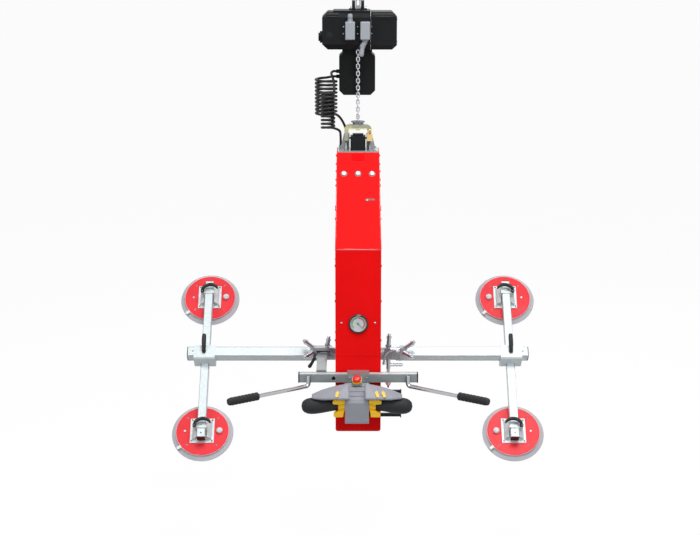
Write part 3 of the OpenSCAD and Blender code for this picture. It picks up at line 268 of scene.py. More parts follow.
def drawn(name, colour, roughness=0.3, axis=0):
    """Drawn or brushed metal whose lines run along one axis."""
    stretch = [1.0, 1.0, 1.0]
    stretch[axis] = 0.02
    return surface(name, colour, roughness, metallic=1.0, mottle=0.07, grain=900.0, depth=0.00004,
                   spread=0.16, stretch=tuple(stretch))


def zinc_plate(name, colour, roughness=0.34):
    """Bright zinc plate: pale, half glossy, with faint flowers and drawing lines."""
    made = Finish(name, colour, roughness, metallic=0.12, specular=0.25)
    flowers = made.node("ShaderNodeTexVoronoi", {"feature": "F1"},
                        {"Vector": made.place(), "Scale": 70.0})
    patch = Value(made, flowers.outputs["Distance"])
    cloud = made.noise(scale=9.0, detail=4.0)
    fine = made.noise(700.0, FINE_DETAIL, (0.05, 1.0, 1.0))
    made.wire("Base Color", made.tint(made.shade(0.93), made.shade(1.06),
                                      (patch + cloud).between(0.5, 1.4)))
    made.wire("Roughness", roughness - 0.06 + patch * 0.12 + fine * 0.08)
    made.relief(fine + patch * 0.4, 0.00005)
    return made


def yellow_passivate(name, olive, straw):
    """Zinc under a yellow film that drifts from olive to straw."""
    made = Finish(name, (0.42, 0.40, 0.26), 0.34, metallic=0.7)
    drift = made.noise(scale=26.0, detail=4.0)
    fine = made.noise(800.0, FINE_DETAIL, (1.0, 1.0, 0.05))
    made.wire("Base Color", made.tint(olive, straw, drift.between(0.50, 0.86)))
    made.wire("Roughness", 0.26 + drift * 0.14 + fine * 0.06)
    made.relief(fine, 0.00005)
    return made


def clear_cover(name, alpha):
    """A clear pane: a thin gloss over whatever lies behind it."""
    made = Finish(name, (0.95, 0.97, 0.98), 0.03)
    made.shader.inputs["Alpha"].default_value = alpha
    return made


FINISHES = {made.name: made for made in (
    # Hoist, chain and cables
    drawn("forged_steel", (0.34, 0.35, 0.37), 0.42),
    surface("hoist_black", (0.011, 0.0125, 0.014), 0.42, mottle=0.12, grain=420.0, depth=0.00022,
            spread=0.14, dust=0.05, specular=0.09),
    moulded("container_black", (0.008, 0.009, 0.0095), 0.6, dust=0.0, specular=0.14),
    # A black a little lighter than the hoist's: a painted highlight along its rounded edges
    surface("bead_black", (0.030, 0.032, 0.035), 0.34, mottle=0.10, grain=420.0, depth=0.00022),
    powder_coat("hood_grey", (0.34, 0.36, 0.40), 0.40, coat=0.1),
    surface("cable_black", (0.011, 0.011, 0.012), 0.42, mottle=0.15, grain=900.0, depth=0.00006,
            spread=0.14),
    drawn("chain_steel", (0.56, 0.57, 0.60), 0.30, axis=2),
    surface("gasket_pale", (0.55, 0.57, 0.58), 0.60, grain=700.0, depth=0.00008, spread=0.08),
    # Head of the lifter
    yellow_passivate("yellow_zinc", (0.38, 0.39, 0.29), (0.76, 0.67, 0.33)),
    # Straw yellow of the bail's lower front edge: a painted highlight
    surface("straw_zinc", (0.93, 0.88, 0.52), 0.30, metallic=0.2, mottle=0.05, depth=0.00003),
    drawn("brass", (0.80, 0.58, 0.27), 0.32, axis=2),
    moulded("box_black", (0.008, 0.010, 0.011), 0.50, dust=0.02, specular=0.16),
    powder_coat("bracket_grey", (0.225, 0.262, 0.268), 0.30, coat=0.9, dust=0.0),
    powder_coat("head_grey", (0.335, 0.365, 0.375), 0.30, coat=0.9, dust=0.0),
    # Body and gauge
    powder_coat("body_red", (0.93, 0.007, 0.008), 0.42, coat=0.0, dust=0.0, specular=0.03),
    powder_coat("tab_red", (0.84, 0.002, 0.004), 0.5, coat=0.0, dust=0.0, specular=0.03),
    powder_coat("red_gloss", (0.90, 0.012, 0.016), 0.22, coat=0.8, dust=0.0, specular=0.5),
    surface("lamp_white", (0.70, 0.69, 0.71), 0.16, coat=0.4, mottle=0.03, grain=300.0,
            depth=0.00004, spread=0.05),
    surface("gauge_black", (0.014, 0.014, 0.016), 0.30, coat=0.2, mottle=0.08, grain=900.0,
            depth=0.00004, spread=0.08),
    surface("dial_white", (0.66, 0.68, 0.69), 0.55, mottle=0.02, grain=500.0, depth=0.00002,
            spread=0.05),
    surface("dial_green", (0.03, 0.38, 0.09), 0.50, mottle=0.03, grain=500.0, depth=0.00002,
            spread=0.05),
    surface("dial_crimson", (0.56, 0.02, 0.05), 0.50, mottle=0.03, grain=500.0, depth=0.00002,
            spread=0.05),
    clear_cover("clear_cover", 0.10),
    moulded("pipe_lilac", (0.36, 0.35, 0.42), 0.34, dust=0.0),
    surface("nickel_plate", (0.46, 0.47, 0.50), 0.28, metallic=1.0, grain=300.0, depth=0.00001,
            spread=0.06),
    surface("pump_aluminium", (0.50, 0.50, 0.52), 0.45, metallic=0.9, mottle=0.08, grain=300.0,
            depth=0.0002, spread=0.12),
    # Handles and pendant
    # Pale grey of the tube's top: a painted highlight, as if lit from above
    surface("tube_top", (0.62, 0.66, 0.67), 0.30, coat=0.6, mottle=0.04, grain=400.0,
            depth=0.00006),
    surface("bar_chrome", (0.45, 0.46, 0.48), 0.17, metallic=1.0, mottle=0.03, grain=300.0,
            depth=0.00001, spread=0.08),
    surface("grip_rubber", (0.020, 0.021, 0.023), 0.62, mottle=0.10, grain=1200.0, spread=0.12,
            dust=0.08, specular=0.25),
    surface("yellow_plastic", (0.92, 0.56, 0.02), 0.34, coat=0.1, mottle=0.05, grain=1100.0,
            depth=0.00005),
    surface("stop_red", (0.80, 0.012, 0.014), 0.28, coat=0.2, mottle=0.04, grain=1100.0,
            depth=0.00004, spread=0.08),
    moulded("pendant_grey", (0.33, 0.34, 0.39), 0.42, dust=0.0),
    moulded("lever_black", (0.012, 0.012, 0.013), 0.40, dust=0.03),
    # Frame and cups
    zinc_plate("zinc_steel", (0.70, 0.78, 0.80)),
    zinc_plate("zinc_blue", (0.44, 0.49, 0.54), 0.30),
    # Dark grey, also used for painted shade on the frame tubes' rolled corners
    drawn("edge_grey", (0.16, 0.17, 0.19), 0.40),
    # Also used as a painted highlight on the cup discs' rims
    surface("rim_pale", (0.86, 0.50, 0.54), 0.40, coat=0.1, mottle=0.03, grain=700.0, depth=0.00004,
            spread=0.08),
    powder_coat("cup_red", (0.93, 0.045, 0.060), 0.42, coat=0.05, dust=0.0, specular=0.15),
    surface("lip_rubber", (0.56, 0.57, 0.61), 0.55, mottle=0.05, grain=900.0, depth=0.00008),
    moulded("white_plastic", (0.80, 0.81, 0.82), 0.40, dust=0.0),
)}

# CAD nodes whose look differs from the rest of their slot
OVERRIDES = {"tilt_bearings": "zinc_blue", "head_bracket": "head_grey",
             "swivel_collar": "edge_grey"}
for part in frame["record"]["subparts"]:
    materials = frame["nodes"][part["node"]].data.materials
    materials.clear()
    materials.append(FINISHES[OVERRIDES.get(part["node"], part["material_slot"])].material)


# Meshes
def solid(name, shape, finish, smooth=False):
    """A mesh object of a shape's points in millimetres and faces, which are turned outward."""
    verts, faces = shape
    mesh = bpy.data.meshes.new(name)
    mesh.from_pydata([tuple(c * MM for c in v) for v in verts], [], faces)
    shell = bmesh.new()
    shell.from_mesh(mesh)
    bmesh.ops.recalc_face_normals(shell, faces=shell.faces)
    shell.to_mesh(mesh)
    shell.free()
    mesh.materials.append(FINISHES[finish].material)
    mesh.polygons.foreach_set("use_smooth", [smooth] * len(mesh.polygons))
    mesh.update()
    made = bpy.data.objects.new(name, mesh)
    bpy.context.scene.collection.objects.link(made)
    return made


def piece(name, shape, finish, body, smooth=False):
    """A solid that rides on a body."""
    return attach(solid(name, shape, finish, smooth), body)


def joined(shapes):
    """Several shapes as one."""
    verts, faces = [], []
    for shape_verts, shape_faces in shapes:
        first = len(verts)
        verts += [tuple(v) for v in shape_verts]
        faces += [tuple(i + first for i in f) for f in shape_faces]
    return verts, faces


def rings(loops, closed=False):
    """A skin over loops of equal count, with flat ends, or closed on itself."""
    count = len(loops[0])
    verts = [tuple(v) for loop in loops for v in loop]
    last = len(loops)
    faces = []
    for i in range(last if closed else last - 1):
        for k in range(count):
            a, b = i * count + k, i * count + (k + 1) % count
            c, d = (b + count) % len(verts), (a + count) % len(verts)
            faces.append((a, b, c, d))
    if not closed:
        faces.append(tuple(range(count))[::-1])
        faces.append(tuple((last - 1) * count + k for k in range(count)))
    return verts, faces


def side_vectors(direction):
    """Two vectors square to a direction and to each other, and the direction itself."""
    w = Vector(direction).normalized()
    side = Vector(UP) if abs(w.z) < 0.9 else Vector(RIGHT)
    u = side.cross(w).normalized()
    return u, w.cross(u), w


def round_angles(count):
    """Angles in equal steps once round."""
    return [2 * math.pi * k / count for k in range(count)]


def turned(profile, at, direction, sides=32):
    """A turned form: (radius, height) pairs about a direction from a point."""
    u, v, w = side_vectors(direction)
    loops = []
    for radius, height in profile:
        centre = Vector(at) + w * height
        loops.append([centre + (u * math.cos(a) + v * math.sin(a)) * radius
                      for a in round_angles(sides)])
    return rings(loops)


def disc(radius, thick):
    """The profile of a plain disc, for turned()."""
    return [(0, 0), (radius, 0), (radius, thick), (0, thick)]


def slab(outline, origin, u, v, w, thick, bevel=0.0):
    """A flat plate of an outline along u and v, thick along w, whose top edge may be bevelled."""
    origin, u, v, w = Vector(origin), Vector(u), Vector(v), Vector(w)
    cx = sum(p[0] for p in outline) / len(outline)
    cy = sum(p[1] for p in outline) / len(outline)

    def loop(shrink, height):
        """The outline drawn in towards its middle, at a height."""
        made = []
        for x, y in outline:
            reach = max(1e-6, math.hypot(x - cx, y - cy))
            k = 1.0 - shrink / reach
            made.append(origin + u * (cx + (x - cx) * k) + v * (cy + (y - cy) * k) + w * height)
        return made

    levels = [(0.0, 0.0), (0.0, thick - bevel)]
    if bevel:
        levels.append((bevel, thick))
    return rings([loop(s, h) for s, h in levels])


def rectangle(x0, x1, y0, y1):
    """A rectangle's outline."""
    return [(x0, y0), (x1, y0), (x1, y1), (x0, y1)]


def rounded(width, height, radius, steps=5):
    """An outline with round corners about the middle."""
    made = []
    for cx, cy, start in ((1, 1, 0), (-1, 1, 90), (-1, -1, 180), (1, -1, 270)):
        for k in range(steps + 1):
            a = math.radians(start + 90 * k / steps)
            made.append((cx * (width / 2 - radius) + radius * math.cos(a),
                         cy * (height / 2 - radius) + radius * math.sin(a)))
    return made


def swept(path, diameter, sides=12, scale=None):
    """A round tube along points, with side vectors carried from ring to ring."""
    path = [Vector(p) for p in path]
    loops = []
    u = None
    for i, point in enumerate(path):
        ahead = path[min(i + 1, len(path) - 1)] - point
        behind = point - path[max(i - 1, 0)]
        w = (ahead.normalized() + behind.normalized()).normalized()
        if u is None:
            u = side_vectors(w)[0]
        u = (u - w * u.dot(w)).normalized()
        v = w.cross(u)
        r = diameter / 2 * (scale[i] if scale else 1.0)
        loops.append([point + (u * math.cos(a) + v * math.sin(a)) * r for a in round_angles(sides)])
    return rings(loops)


def smooth_path(points, steps=6):
    """A curve through the points, from Catmull-Rom segments."""
    points = [Vector(p) for p in points]
    padded = [2 * points[0] - points[1]] + points + [2 * points[-1] - points[-2]]
    made = []
    for a, b, c, d in zip(padded, padded[1:], padded[2:], padded[3:]):
        for k in range(steps):
            t = k / steps
            made.append(0.5 * (2 * b + (c - a) * t + (2 * a - 5 * b + 4 * c - d) * t * t
                               + (3 * b - a - 3 * c + d) * t ** 3))
    return made + [points[-1]]


# Coiled cables
CABLE_D = 12.0
CURL_PITCH = 18.0
CURL_STEPS = 24
CABLE_GLAND_X, CABLE_GLAND_L = -105.0, 13


def curls(centre, radius, start, turns, way):
    """The middle line of a coil, from its top turn down."""
    made = []
    for i in range(round(turns * CURL_STEPS) + 1):
        a = math.radians(start + way * 360.0 * i / CURL_STEPS)
        made.append(Vector((centre[0] + radius * math.cos(a), centre[1] + radius * math.sin(a),
                            centre[2] - CURL_PITCH * i / CURL_STEPS)))
    return made


def cable(name, node, top, coil, end):
    """A coiled cable from the hoist down to the head: its top lead, its coil and its end lead."""
    lead_in = smooth_path(top + [coil[0]])[:-1]
    lead_out = smooth_path([coil[-1]] + end)[1:]
    path = lead_in + coil + lead_out
    made = solid(name, swept(path, CABLE_D), "cable_black", True)
    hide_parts(node)
    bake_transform(made)
    length = sum((b - a).length for a, b in zip(path, path[1:])) * MM
    [c * MM for c in path[0]]
    [tuple(p * MM) for p in path]


cable("cable_rear", "coil_cable_rear",
      [(CABLE_GLAND_X, 80, -391), (CABLE_GLAND_X - CABLE_GLAND_L, 80, -391), (-132, 80, -393)],
      curls((-154, 30, -397), 50, 90, 9.5, 1),
      [(-124, -20, -560), (-104, -16, -566), (-88, -4, -580), (-74, 14, -603), (-62, 34, -632),
       (-54, 44, -664), (-52, 46, -690), (-52, 46, -709), (-52, 46, -722)])
cable("cable_front", "coil_cable_front",
      [(CABLE_GLAND_X, 36, -362), (CABLE_GLAND_X - CABLE_GLAND_L, 36, -362), (-122, 30, -363),
       (-128, 14, -367), (-127, -8, -374), (-121, -30, -388), (-116, -46, -406), (-114, -58, -426)],
      curls((-144, -68, -451), 30, 0, 9.75, -1),
      [(-126, -38, -627), (-108, -34, -632), (-94, -20, -640), (-87, 2, -651), (-85, 24, -666),
       (-84, 40, -686), (-84, 46, -706), (-84, 46, -709), (-84, 46, -722)])


# Floor and surrounding light
FLOOR_COLOUR = (0.42, 0.42, 0.42)
FLOOR_HALF, FLOOR_Z = 150.0, -2.75
FLOOR_GLOW, FLOOR_GLOW_SHARE = 1.20, 0.78
AMBIENT = 0.24


def pale_floor():
    """A white floor that shows white to the camera and keeps a soft shadow."""
    made = Finish("floor_white", FLOOR_COLOUR, 0.9, specular=0.1)
    seen = made.seen()
    glow = made.node("ShaderNodeEmission", {}, {"Color": WHITE, "Strength": FLOOR_GLOW})
    mix = made.node("ShaderNodeMixShader", {},
                    {0: seen * FLOOR_GLOW_SHARE, 1: made.shader.outputs[0], 2: glow.outputs[0]})
    made.tree.links.new(mix.outputs[0], made.output.inputs["Surface"])
    mesh = bpy.data.meshes.new("floor")
    corners = rectangle(-FLOOR_HALF, FLOOR_HALF, -FLOOR_HALF, FLOOR_HALF)
    mesh.from_pydata([(x, y, FLOOR_Z) for x, y in corners], [], [(0, 1, 2, 3)])
    mesh.materials.append(made.material)
    floor = bpy.data.objects.new("floor", mesh)
    bpy.context.scene.collection.objects.link(floor)


def surrounding_light():
    """An even dim light on the object that shows as white behind it."""
    world = bpy.data.worlds.new("studio")
    world.use_nodes = True
    bpy.context.scene.world = world
    nodes = Nodes(world.node_tree)
    sky = nodes.tree.nodes["Background"]
    sky.inputs["Color"].default_value = WHITE
    strength = AMBIENT + nodes.seen() * (1.0 - AMBIENT)
    nodes.tree.links.new(strength.socket, sky.inputs["Strength"])


pale_floor()
surrounding_light()
bpy.context.scene.view_settings.view_transform = "Standard"


# What repeats
class Stamps(Nodes):
    """A Geometry Nodes tree that sets one shape on each point, turned to the point's facing."""

    def __init__(self, name, sizes, axis):
        super().__init__(bpy.data.node_groups.new(name, "GeometryNodeTree"))
        face = self.tree.interface
        face.new_socket("Places", in_out="INPUT", socket_type="NodeSocketGeometry")
        self.inputs = {}
        for size in sizes:
            socket = face.new_socket(size, in_out="INPUT", socket_type="NodeSocketFloat")
            self.inputs[size] = socket.identifier
        face.new_socket("Shapes", in_out="OUTPUT", socket_type="NodeSocketGeometry")
        self.start = self.node("NodeGroupInput")
        self.end = self.node("NodeGroupOutput")
        self.axis = axis

    def size(self, name):
        """One of the tree's named sizes, as a Value."""
        return Value(self, self.start.outputs[name])

    def vector(self, x, y, z):
        """A vector from three numbers or Values."""
        return self.node("ShaderNodeCombineXYZ", {}, {0: x, 1: y, 2: z}).outputs[0]

    def finish(self, shape, finish, dark=None):
        """Sets the shape on the carrier's points, makes it real and gives it its finish."""
        facing = self.node("GeometryNodeInputNamedAttribute", {"data_type": "FLOAT_VECTOR"},
                           {"Name": "facing"})
        turn = self.node("FunctionNodeAlignRotationToVector", {"axis": self.axis},
                         {"Vector": facing.outputs[0]})
        stamps = self.node("GeometryNodeInstanceOnPoints", {},
                           {"Points": self.start.outputs["Places"], "Instance": shape,
                            "Rotation": turn.outputs[0]})
        real = self.node("GeometryNodeRealizeInstances", {}, {"Geometry": stamps.outputs[0]})
        painted = self.node("GeometryNodeSetMaterial", {},
                            {"Geometry": real.outputs[0], "Material": FINISHES[finish].material})
        # Faces marked as a socket recess get the dark finish: painted shade
        if dark:
            recess = self.node("GeometryNodeInputNamedAttribute", {"data_type": "BOOLEAN"},
                               {"Name": "recess"})
            painted = self.node("GeometryNodeSetMaterial", {},
                                {"Geometry": painted.outputs[0], "Selection": recess.outputs[0],
                                 "Material": FINISHES[dark].material})
        self.tree.links.new(painted.outputs[0], self.end.inputs[0])
        return self


def screw_stamps(finish):
    """Domed heads, each with a dark hexagon as painted shade of its socket."""
    made = Stamps("screws_" + finish, ["Head diameter", "Head height", "Socket width"], "Z")
    width, height = made.size("Head diameter"), made.size("Head height")
    ball = made.node("GeometryNodeMeshUVSphere", {}, {"Segments": 20, "Rings": 12, "Radius": 0.5})
    dome = made.node("GeometryNodeTransform", {},
                     {"Geometry": ball.outputs[0],
                      "Scale": made.vector(width, width, height * 2.0)})
    smooth = made.node("GeometryNodeSetShadeSmooth", {}, {"Geometry": dome.outputs[0]})
    key = made.node("GeometryNodeMeshCylinder", {},
                    {"Vertices": 6, "Radius": made.size("Socket width") * 0.5,
                     "Depth": height * 0.3})
    marked = made.node("GeometryNodeStoreNamedAttribute",
                       {"data_type": "BOOLEAN", "domain": "FACE"},
                       {"Geometry": key.outputs[0], "Name": "recess", "Value": True})
    lifted = made.node("GeometryNodeTransform", {},
                       {"Geometry": marked.outputs[0],
                        "Translation": made.vector(0.0, 0.0, height * 0.86)})
    both = made.node("GeometryNodeJoinGeometry", {}, {0: [smooth.outputs[0], lifted.outputs[0]]})
    return made.finish(both.outputs[0], finish, "gauge_black")


def bar_stamps(finish):
    """Small flat bars, such as dial ticks and slits, whose length lies along the facing vector."""
    made = Stamps("bars_" + finish, ["Length", "Depth", "Width"], "X")
    block = made.node("GeometryNodeMeshCube", {},
                      {"Size": made.vector(made.size("Length"), made.size("Depth"),
                                           made.size("Width"))})
    return made.finish(block.outputs[0], finish)


STAMPS = {}


def repeated(name, build, finish, places, sizes, body):
    """One plain mesh of a repeated shape at (point, facing) pairs in millimetres."""
    if (build, finish) not in STAMPS:
        STAMPS[build, finish] = build(finish)
    stamps = STAMPS[build, finish]
    mesh = bpy.data.meshes.new(name + "_places")
    mesh.from_pydata([tuple(c * MM for c in point) for point, way in places], [], [])
    facing = mesh.attributes.new("facing", "FLOAT_VECTOR", "POINT")
    facing.data.foreach_set("vector", [c for point, way in places
                                       for c in Vector(way).normalized()])
    carrier = bpy.data.objects.new(name + "_places", mesh)
    bpy.context.scene.collection.objects.link(carrier)
    modifier = carrier.modifiers.new("stamps", "NODES")
    modifier.node_group = stamps.tree
    for size, value in sizes.items():
        modifier[stamps.inputs[size]] = value * MM
    ready = carrier.evaluated_get(bpy.context.evaluated_depsgraph_get())
    plain = bpy.data.meshes.new_from_object(ready)
    plain.name = name
    bpy.data.objects.remove(carrier)
    made = bpy.data.objects.new(name, plain)
    bpy.context.scene.collection.objects.link(made)
    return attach(made, body)


def screws(name, finish, places, diameter, height, socket, body):
    """Domed screws at (point, facing) pairs."""
    sizes = {"Head diameter": diameter, "Head height": height, "Socket width": socket}
    return repeated(name, screw_stamps, finish, places, sizes, body)


def bars(name, finish, places, length, depth, width, body):
    """Flat bars at (point, facing) pairs."""
    sizes = {"Length": length, "Depth": depth, "Width": width}
    return repeated(name, bar_stamps, finish, places, sizes, body)


# Hoist
HOIST_FRONT, HOIST_END = -100.0, 183
HOIST_JOINT = [(-81, -251), (81, -251), (101, -231), (101, -91),
               (81, -71), (-81, -71), (-101, -91), (-101, -231)]
GASKET_W = 12
HOODS = (("left", -38), ("right", 33))
HOOD_W, HOOD_H, HOOD_Y, HOOD_Z = 45.4, 83.4, -145.8, -158
HOOD_SCREW_ROWS = (-142, -174)
COVER_SCREW_Y, COVER_SCREW_Z = (-62, 62), (-212, -110)
SLIT_X, SLIT_ROWS = -136, (-170, -178, -186)
RIB_CIRCLE, RIB_Y, RIB_Z = 11, -125, -95
RECESSES = (("left", -148, -92), ("right", 70, 166))
EDGE_Y, EDGE_Z = -98.4, -93.4
CLIP_X, CLIP_R, CLIP_Z = 37, 11, -60
SLOPE_OUT, SLOPE_UP = (0, -0.7071, 0.7071), (0, 0.7071, 0.7071)


def edge_strip(outline, width, x0, x1):
    """A strip of an outline in Y and Z, closed round, between two places along X."""
    cy = sum(p[0] for p in outline) / len(outline)
    cz = sum(p[1] for p in outline) / len(outline)
    loops = []
    for y, z in outline:
        k = 1.0 - width / math.hypot(y - cy, z - cz)
        iy, iz = cy + (y - cy) * k, cz + (z - cz) * k
        loops.append([(x0, y, z), (x1, y, z), (x1, iy, iz), (x0, iy, iz)])
    return rings(loops, True)


piece("hoist_gasket", edge_strip(HOIST_JOINT, GASKET_W, 58.2, 59.8), "gasket_pale", "hoist")
screws("hood_screws", "forged_steel",
       [((x, HOIST_FRONT - 4, z), FRONT) for x in (-68.5, -2.5) for z in HOOD_SCREW_ROWS],
       8, 3, 3.6, "hoist")
screws("flange_screws", "forged_steel",
       [((63.5, HOIST_FRONT - 4, z), FRONT) for z in HOOD_SCREW_ROWS],
       6.5, 2.5, 3.0, "hoist")
screws("cover_screws", "forged_steel",
       [((HOIST_END, y, z), RIGHT) for y in COVER_SCREW_Y for z in COVER_SCREW_Z],
       9, 3.5, 4.2, "hoist")
# Black bars in the cooling slits: painted shade
bars("cooling_slits", "gauge_black",
     [((SLIT_X, HOIST_FRONT - 0.2, z), RIGHT) for z in SLIT_ROWS], 27, 1.0, 3.2, "hoist")
for name, x in HOODS:
    piece("hood_face_" + name,
          slab(rounded(HOOD_W, HOOD_H, 7.5, 6), (x, HOOD_Y, HOOD_Z), RIGHT, UP, FRONT, 4.2, 3.6),
          "hood_grey", "hoist")
bars("gland_ribs", "bracket_grey",
     [((HOODS[0][1] + RIB_CIRCLE * math.cos(a), RIB_Y + RIB_CIRCLE * math.sin(a), RIB_Z),
       (math.cos(a), math.sin(a), 0)) for a in round_angles(16)], 2.2, 2.0, 17, "hoist")
for name, x0, x1 in RECESSES:
    # Painted shade of a recess on the sloping top edge, as a black sheet; and the rounded edge
    # below it, in a black a little lighter than the housing as a painted highlight
    piece("hoist_recess_" + name,
          slab(rectangle(x0, x1, -6, 7), (0, -90.2, -82.2), RIGHT, SLOPE_UP, SLOPE_OUT, 0.5),
          "gauge_black", "hoist")
    piece("hoist_bead_" + name,
          swept([(x, EDGE_Y, EDGE_Z) for x in (x0, (x0 + x1) / 2, x1)], 5.0), "bead_black",
          "hoist", True)
# A straw strip along the bail's lower front edge: a painted highlight
piece("bail_lip",
      slab(rectangle(-44, 44, -2.6, 2.6), (0, -14.8, -636.2), RIGHT, UP, FRONT, 1.6, 0.6),
      "straw_zinc", "load")
for side, name in SIDES:
    # The ring leans a little, as it hangs through its pin
    ring = [(side * CLIP_X + 1.5 * math.sin(a), CLIP_R * math.cos(a), CLIP_Z + CLIP_R * math.sin(a))
            for a in round_angles(24)]
    piece("pin_clip_" + name, swept(ring + ring[:1], 2.4, 8), "bar_chrome", "hoist", True)


# Neck and body
BODY_FRONT, BODY_HALF = -416.0, 107.5
BEND_Z, NECK_BACK, NECK_H, NECK_TAPER = -1150.0, 326.0, 408.0, 5.5
NECK_UP = Vector((0, NECK_BACK, NECK_H)).normalized()
NECK_OUT = Vector((0, -NECK_H, NECK_BACK)).normalized()
NECK_SCREW_ROWS = (0.965, 0.876, 0.798, 0.71, 0.648, 0.428, 0.399, 0.305)
NECK_SCREW_BACK = 24
BODY_SCREW_Y, BODY_SCREW_Z = (-396, -246), (-1230, -1400, -1590)
LOCK_X, LATCH_X, LOCK_UP = 42, 62, 0.51
LAMP_X, LAMP_UP = (-67, 0, 67), 0.78


def on_neck(x, up, out=0.0):
    """A point on the neck's sloping face: across, share of the way up, and out of the face."""
    return Vector((x, BODY_FRONT + up * NECK_BACK, BEND_Z + up * NECK_H)) + NECK_OUT * out


def neck_plate(name, outline, x, up, out, thick, bevel, finish):
    """A flat plate on the neck's sloping face."""
    piece(name, slab(outline, on_neck(x, up, out), RIGHT, NECK_UP, NECK_OUT, thick, bevel),
          finish, "load")


screws("neck_screws", "stop_red",
       [((side * (BODY_HALF - NECK_TAPER * up), BODY_FRONT + up * NECK_BACK + NECK_SCREW_BACK,
          BEND_Z + up * NECK_H), (side, 0, 0)) for up in NECK_SCREW_ROWS for side, name in SIDES],
       15, 4.5, 5.5, "load")
screws("body_screws", "stop_red",
       [((side * BODY_HALF, y, z), (side, 0, 0)) for side, name in SIDES
        for y in BODY_SCREW_Y for z in BODY_SCREW_Z], 13, 3.5, 5.0, "load")
piece("panel_lock", turned([(0, -6), (6.6, -6), (6.6, 1.0), (5.4, 2.0), (0, 2.2)],
                           on_neck(LOCK_X, LOCK_UP), NECK_OUT, 28), "bar_chrome", "load", True)
# A black sheet in the lock's key slot: painted shade
neck_plate("panel_lock_slot", rounded(1.6, 7.5, 0.7, 3), LOCK_X, LOCK_UP, out=2.0, thick=0.5,
           bevel=0.0, finish="gauge_black")
# The latch's slot and its tongue drawn black: painted shade of the slot
neck_plate("latch_plate", rounded(33, 9, 3.5), LATCH_X, LOCK_UP, out=-0.2, thick=1.4,
           bevel=0.5, finish="gauge_black")
neck_plate("latch_tongue", rounded(22, 2.6, 1.2, 3), LATCH_X, LOCK_UP, out=1.0, thick=1.2,
           bevel=0.3, finish="gauge_black")
neck_plate("neck_tab", rounded(60, 34, 2, 3), 0, 0.955, out=-0.1, thick=0.7,
           bevel=0.3, finish="tab_red")
piece("lamp_rings", joined(
    turned([(0, 0), (15.5, 0), (15.5, 1.0), (14.2, 2.2), (0, 2.2)],
           on_neck(x, LAMP_UP, -0.1), NECK_OUT, 36)
    for x in LAMP_X), "bracket_grey", "load", True)
piece("bend_bead",
      swept([(x, BODY_FRONT + 3.2, BEND_Z + 0.5) for x in (-106, -60, 0, 60, 106)], 9.0, 16),
      "red_gloss", "load", True)
for side, name in SIDES:
    piece("neck_edge_" + name,
          swept([on_neck(side * (BODY_HALF - 2.0 - NECK_TAPER * up), up, -2.2)
                 for up in (0.0, 0.3, 0.6, 0.97)], 6.0), "red_gloss", "load", True)

# Rigid pipe at the right of the body, from the vacuum couplings down behind the handle tube
PIPE_NUT = [(0, 0), (9, 0), (9, 12), (7.5, 14), (0, 14)]
piece("vacuum_pipe", swept(smooth_path([
    (190, -128, -1716), (178, -129, -1716), (162, -131, -1719), (146, -133, -1728),
    (135, -134, -1742), (130, -135, -1758), (129, -135, -1776)]), 11.0, 14),
      "pipe_lilac", "load", True)
piece("vacuum_pipe_nuts", joined((turned(PIPE_NUT, (200, -128, -1716), LEFT, 6),
                                  turned(PIPE_NUT, (129, -135, -1784), UP, 6))),
      "nickel_plate", "load")


# Vacuum gauge
GAUGE_X, GAUGE_Z, DIAL_Y, DIAL_R = 0.0, -1504.0, -420.0, 38.8
COVER_OUT = 5.6
GAUGE_SCREW_X, GAUGE_SCREW_Z = (-79, 79), -1500
ARC_INNER, ARC_OUTER, PRINT_THICK = 25.5, 31.5, 0.25
FIRST_TICK, TICK_SWEEP, TICK_STEPS = -45, 270, 50


def on_dial(radius, degrees, out=0.0):
    """A point on the dial, by radius and angle from the right, seen from the front."""
    a = math.radians(degrees)
    return GAUGE_X + radius * math.cos(a), DIAL_Y - out, GAUGE_Z + radius * math.sin(a)


def dial_arc(start, end, out=0.4, steps=28):
    """A thin printed arc on the dial, between two angles."""
    loops = []
    for k in range(steps + 1):
        a = start + (end - start) * k / steps
        loops.append([on_dial(ARC_INNER, a, out), on_dial(ARC_OUTER, a, out),
                      on_dial(ARC_OUTER, a, out + PRINT_THICK),
                      on_dial(ARC_INNER, a, out + PRINT_THICK)])
    return rings(loops)


def dial_ticks(name, radius, angles, length, depth, width):
    """Ticks that point outward from the dial's middle."""
    bars(name, "gauge_black",
         [(on_dial(radius, a, 0.5), (math.cos(math.radians(a)), 0, math.sin(math.radians(a))))
          for a in angles], length, depth, width, "load")


piece("gauge_dial", turned([(0, -0.2), (DIAL_R, -0.2), (DIAL_R, 0.4), (0, 0.4)],
                           (GAUGE_X, DIAL_Y, GAUGE_Z), FRONT, 64), "dial_white", "load")
piece("dial_green_arc", dial_arc(92, 225), "dial_green", "load")
piece("dial_crimson_arc", dial_arc(-45, 88), "dial_crimson", "load")
ticks = [FIRST_TICK + TICK_SWEEP * k / TICK_STEPS for k in range(TICK_STEPS + 1)]
dial_ticks("dial_ticks", 34.3, ticks, 3.2, 0.3, 0.55)
dial_ticks("dial_ticks_long", 33.0, ticks[::5], 6.5, 0.35, 1.1)
piece("gauge_cover", turned([(0, 0), (DIAL_R, 0), (DIAL_R, 0.8), (30, 1.5), (0, 1.9)],
                            (GAUGE_X, DIAL_Y - COVER_OUT, GAUGE_Z), FRONT, 64),
      "clear_cover", "load", True)
screws("gauge_screws", "bar_chrome",
       [((x, BODY_FRONT, GAUGE_SCREW_Z), FRONT) for x in GAUGE_SCREW_X], 11, 4.5, 4.4, "load")


# Handle tube, pendant and filter
TUBE_FRONT, TUBE_Z = -466.0, -1757.0
TUBE_BACK, TUBE_TOP = TUBE_FRONT + 40, TUBE_Z + 20
TUBE_INNER, TUBE_OUTER, SEAM_W = 52.5, 276.5, 7
SHELL_X, SHELL_Y, SHELL_TOP, SHELL_LEAN = -6, -573, -1844, 0.123
FILTER_X, FILTER_Y = 150, -132

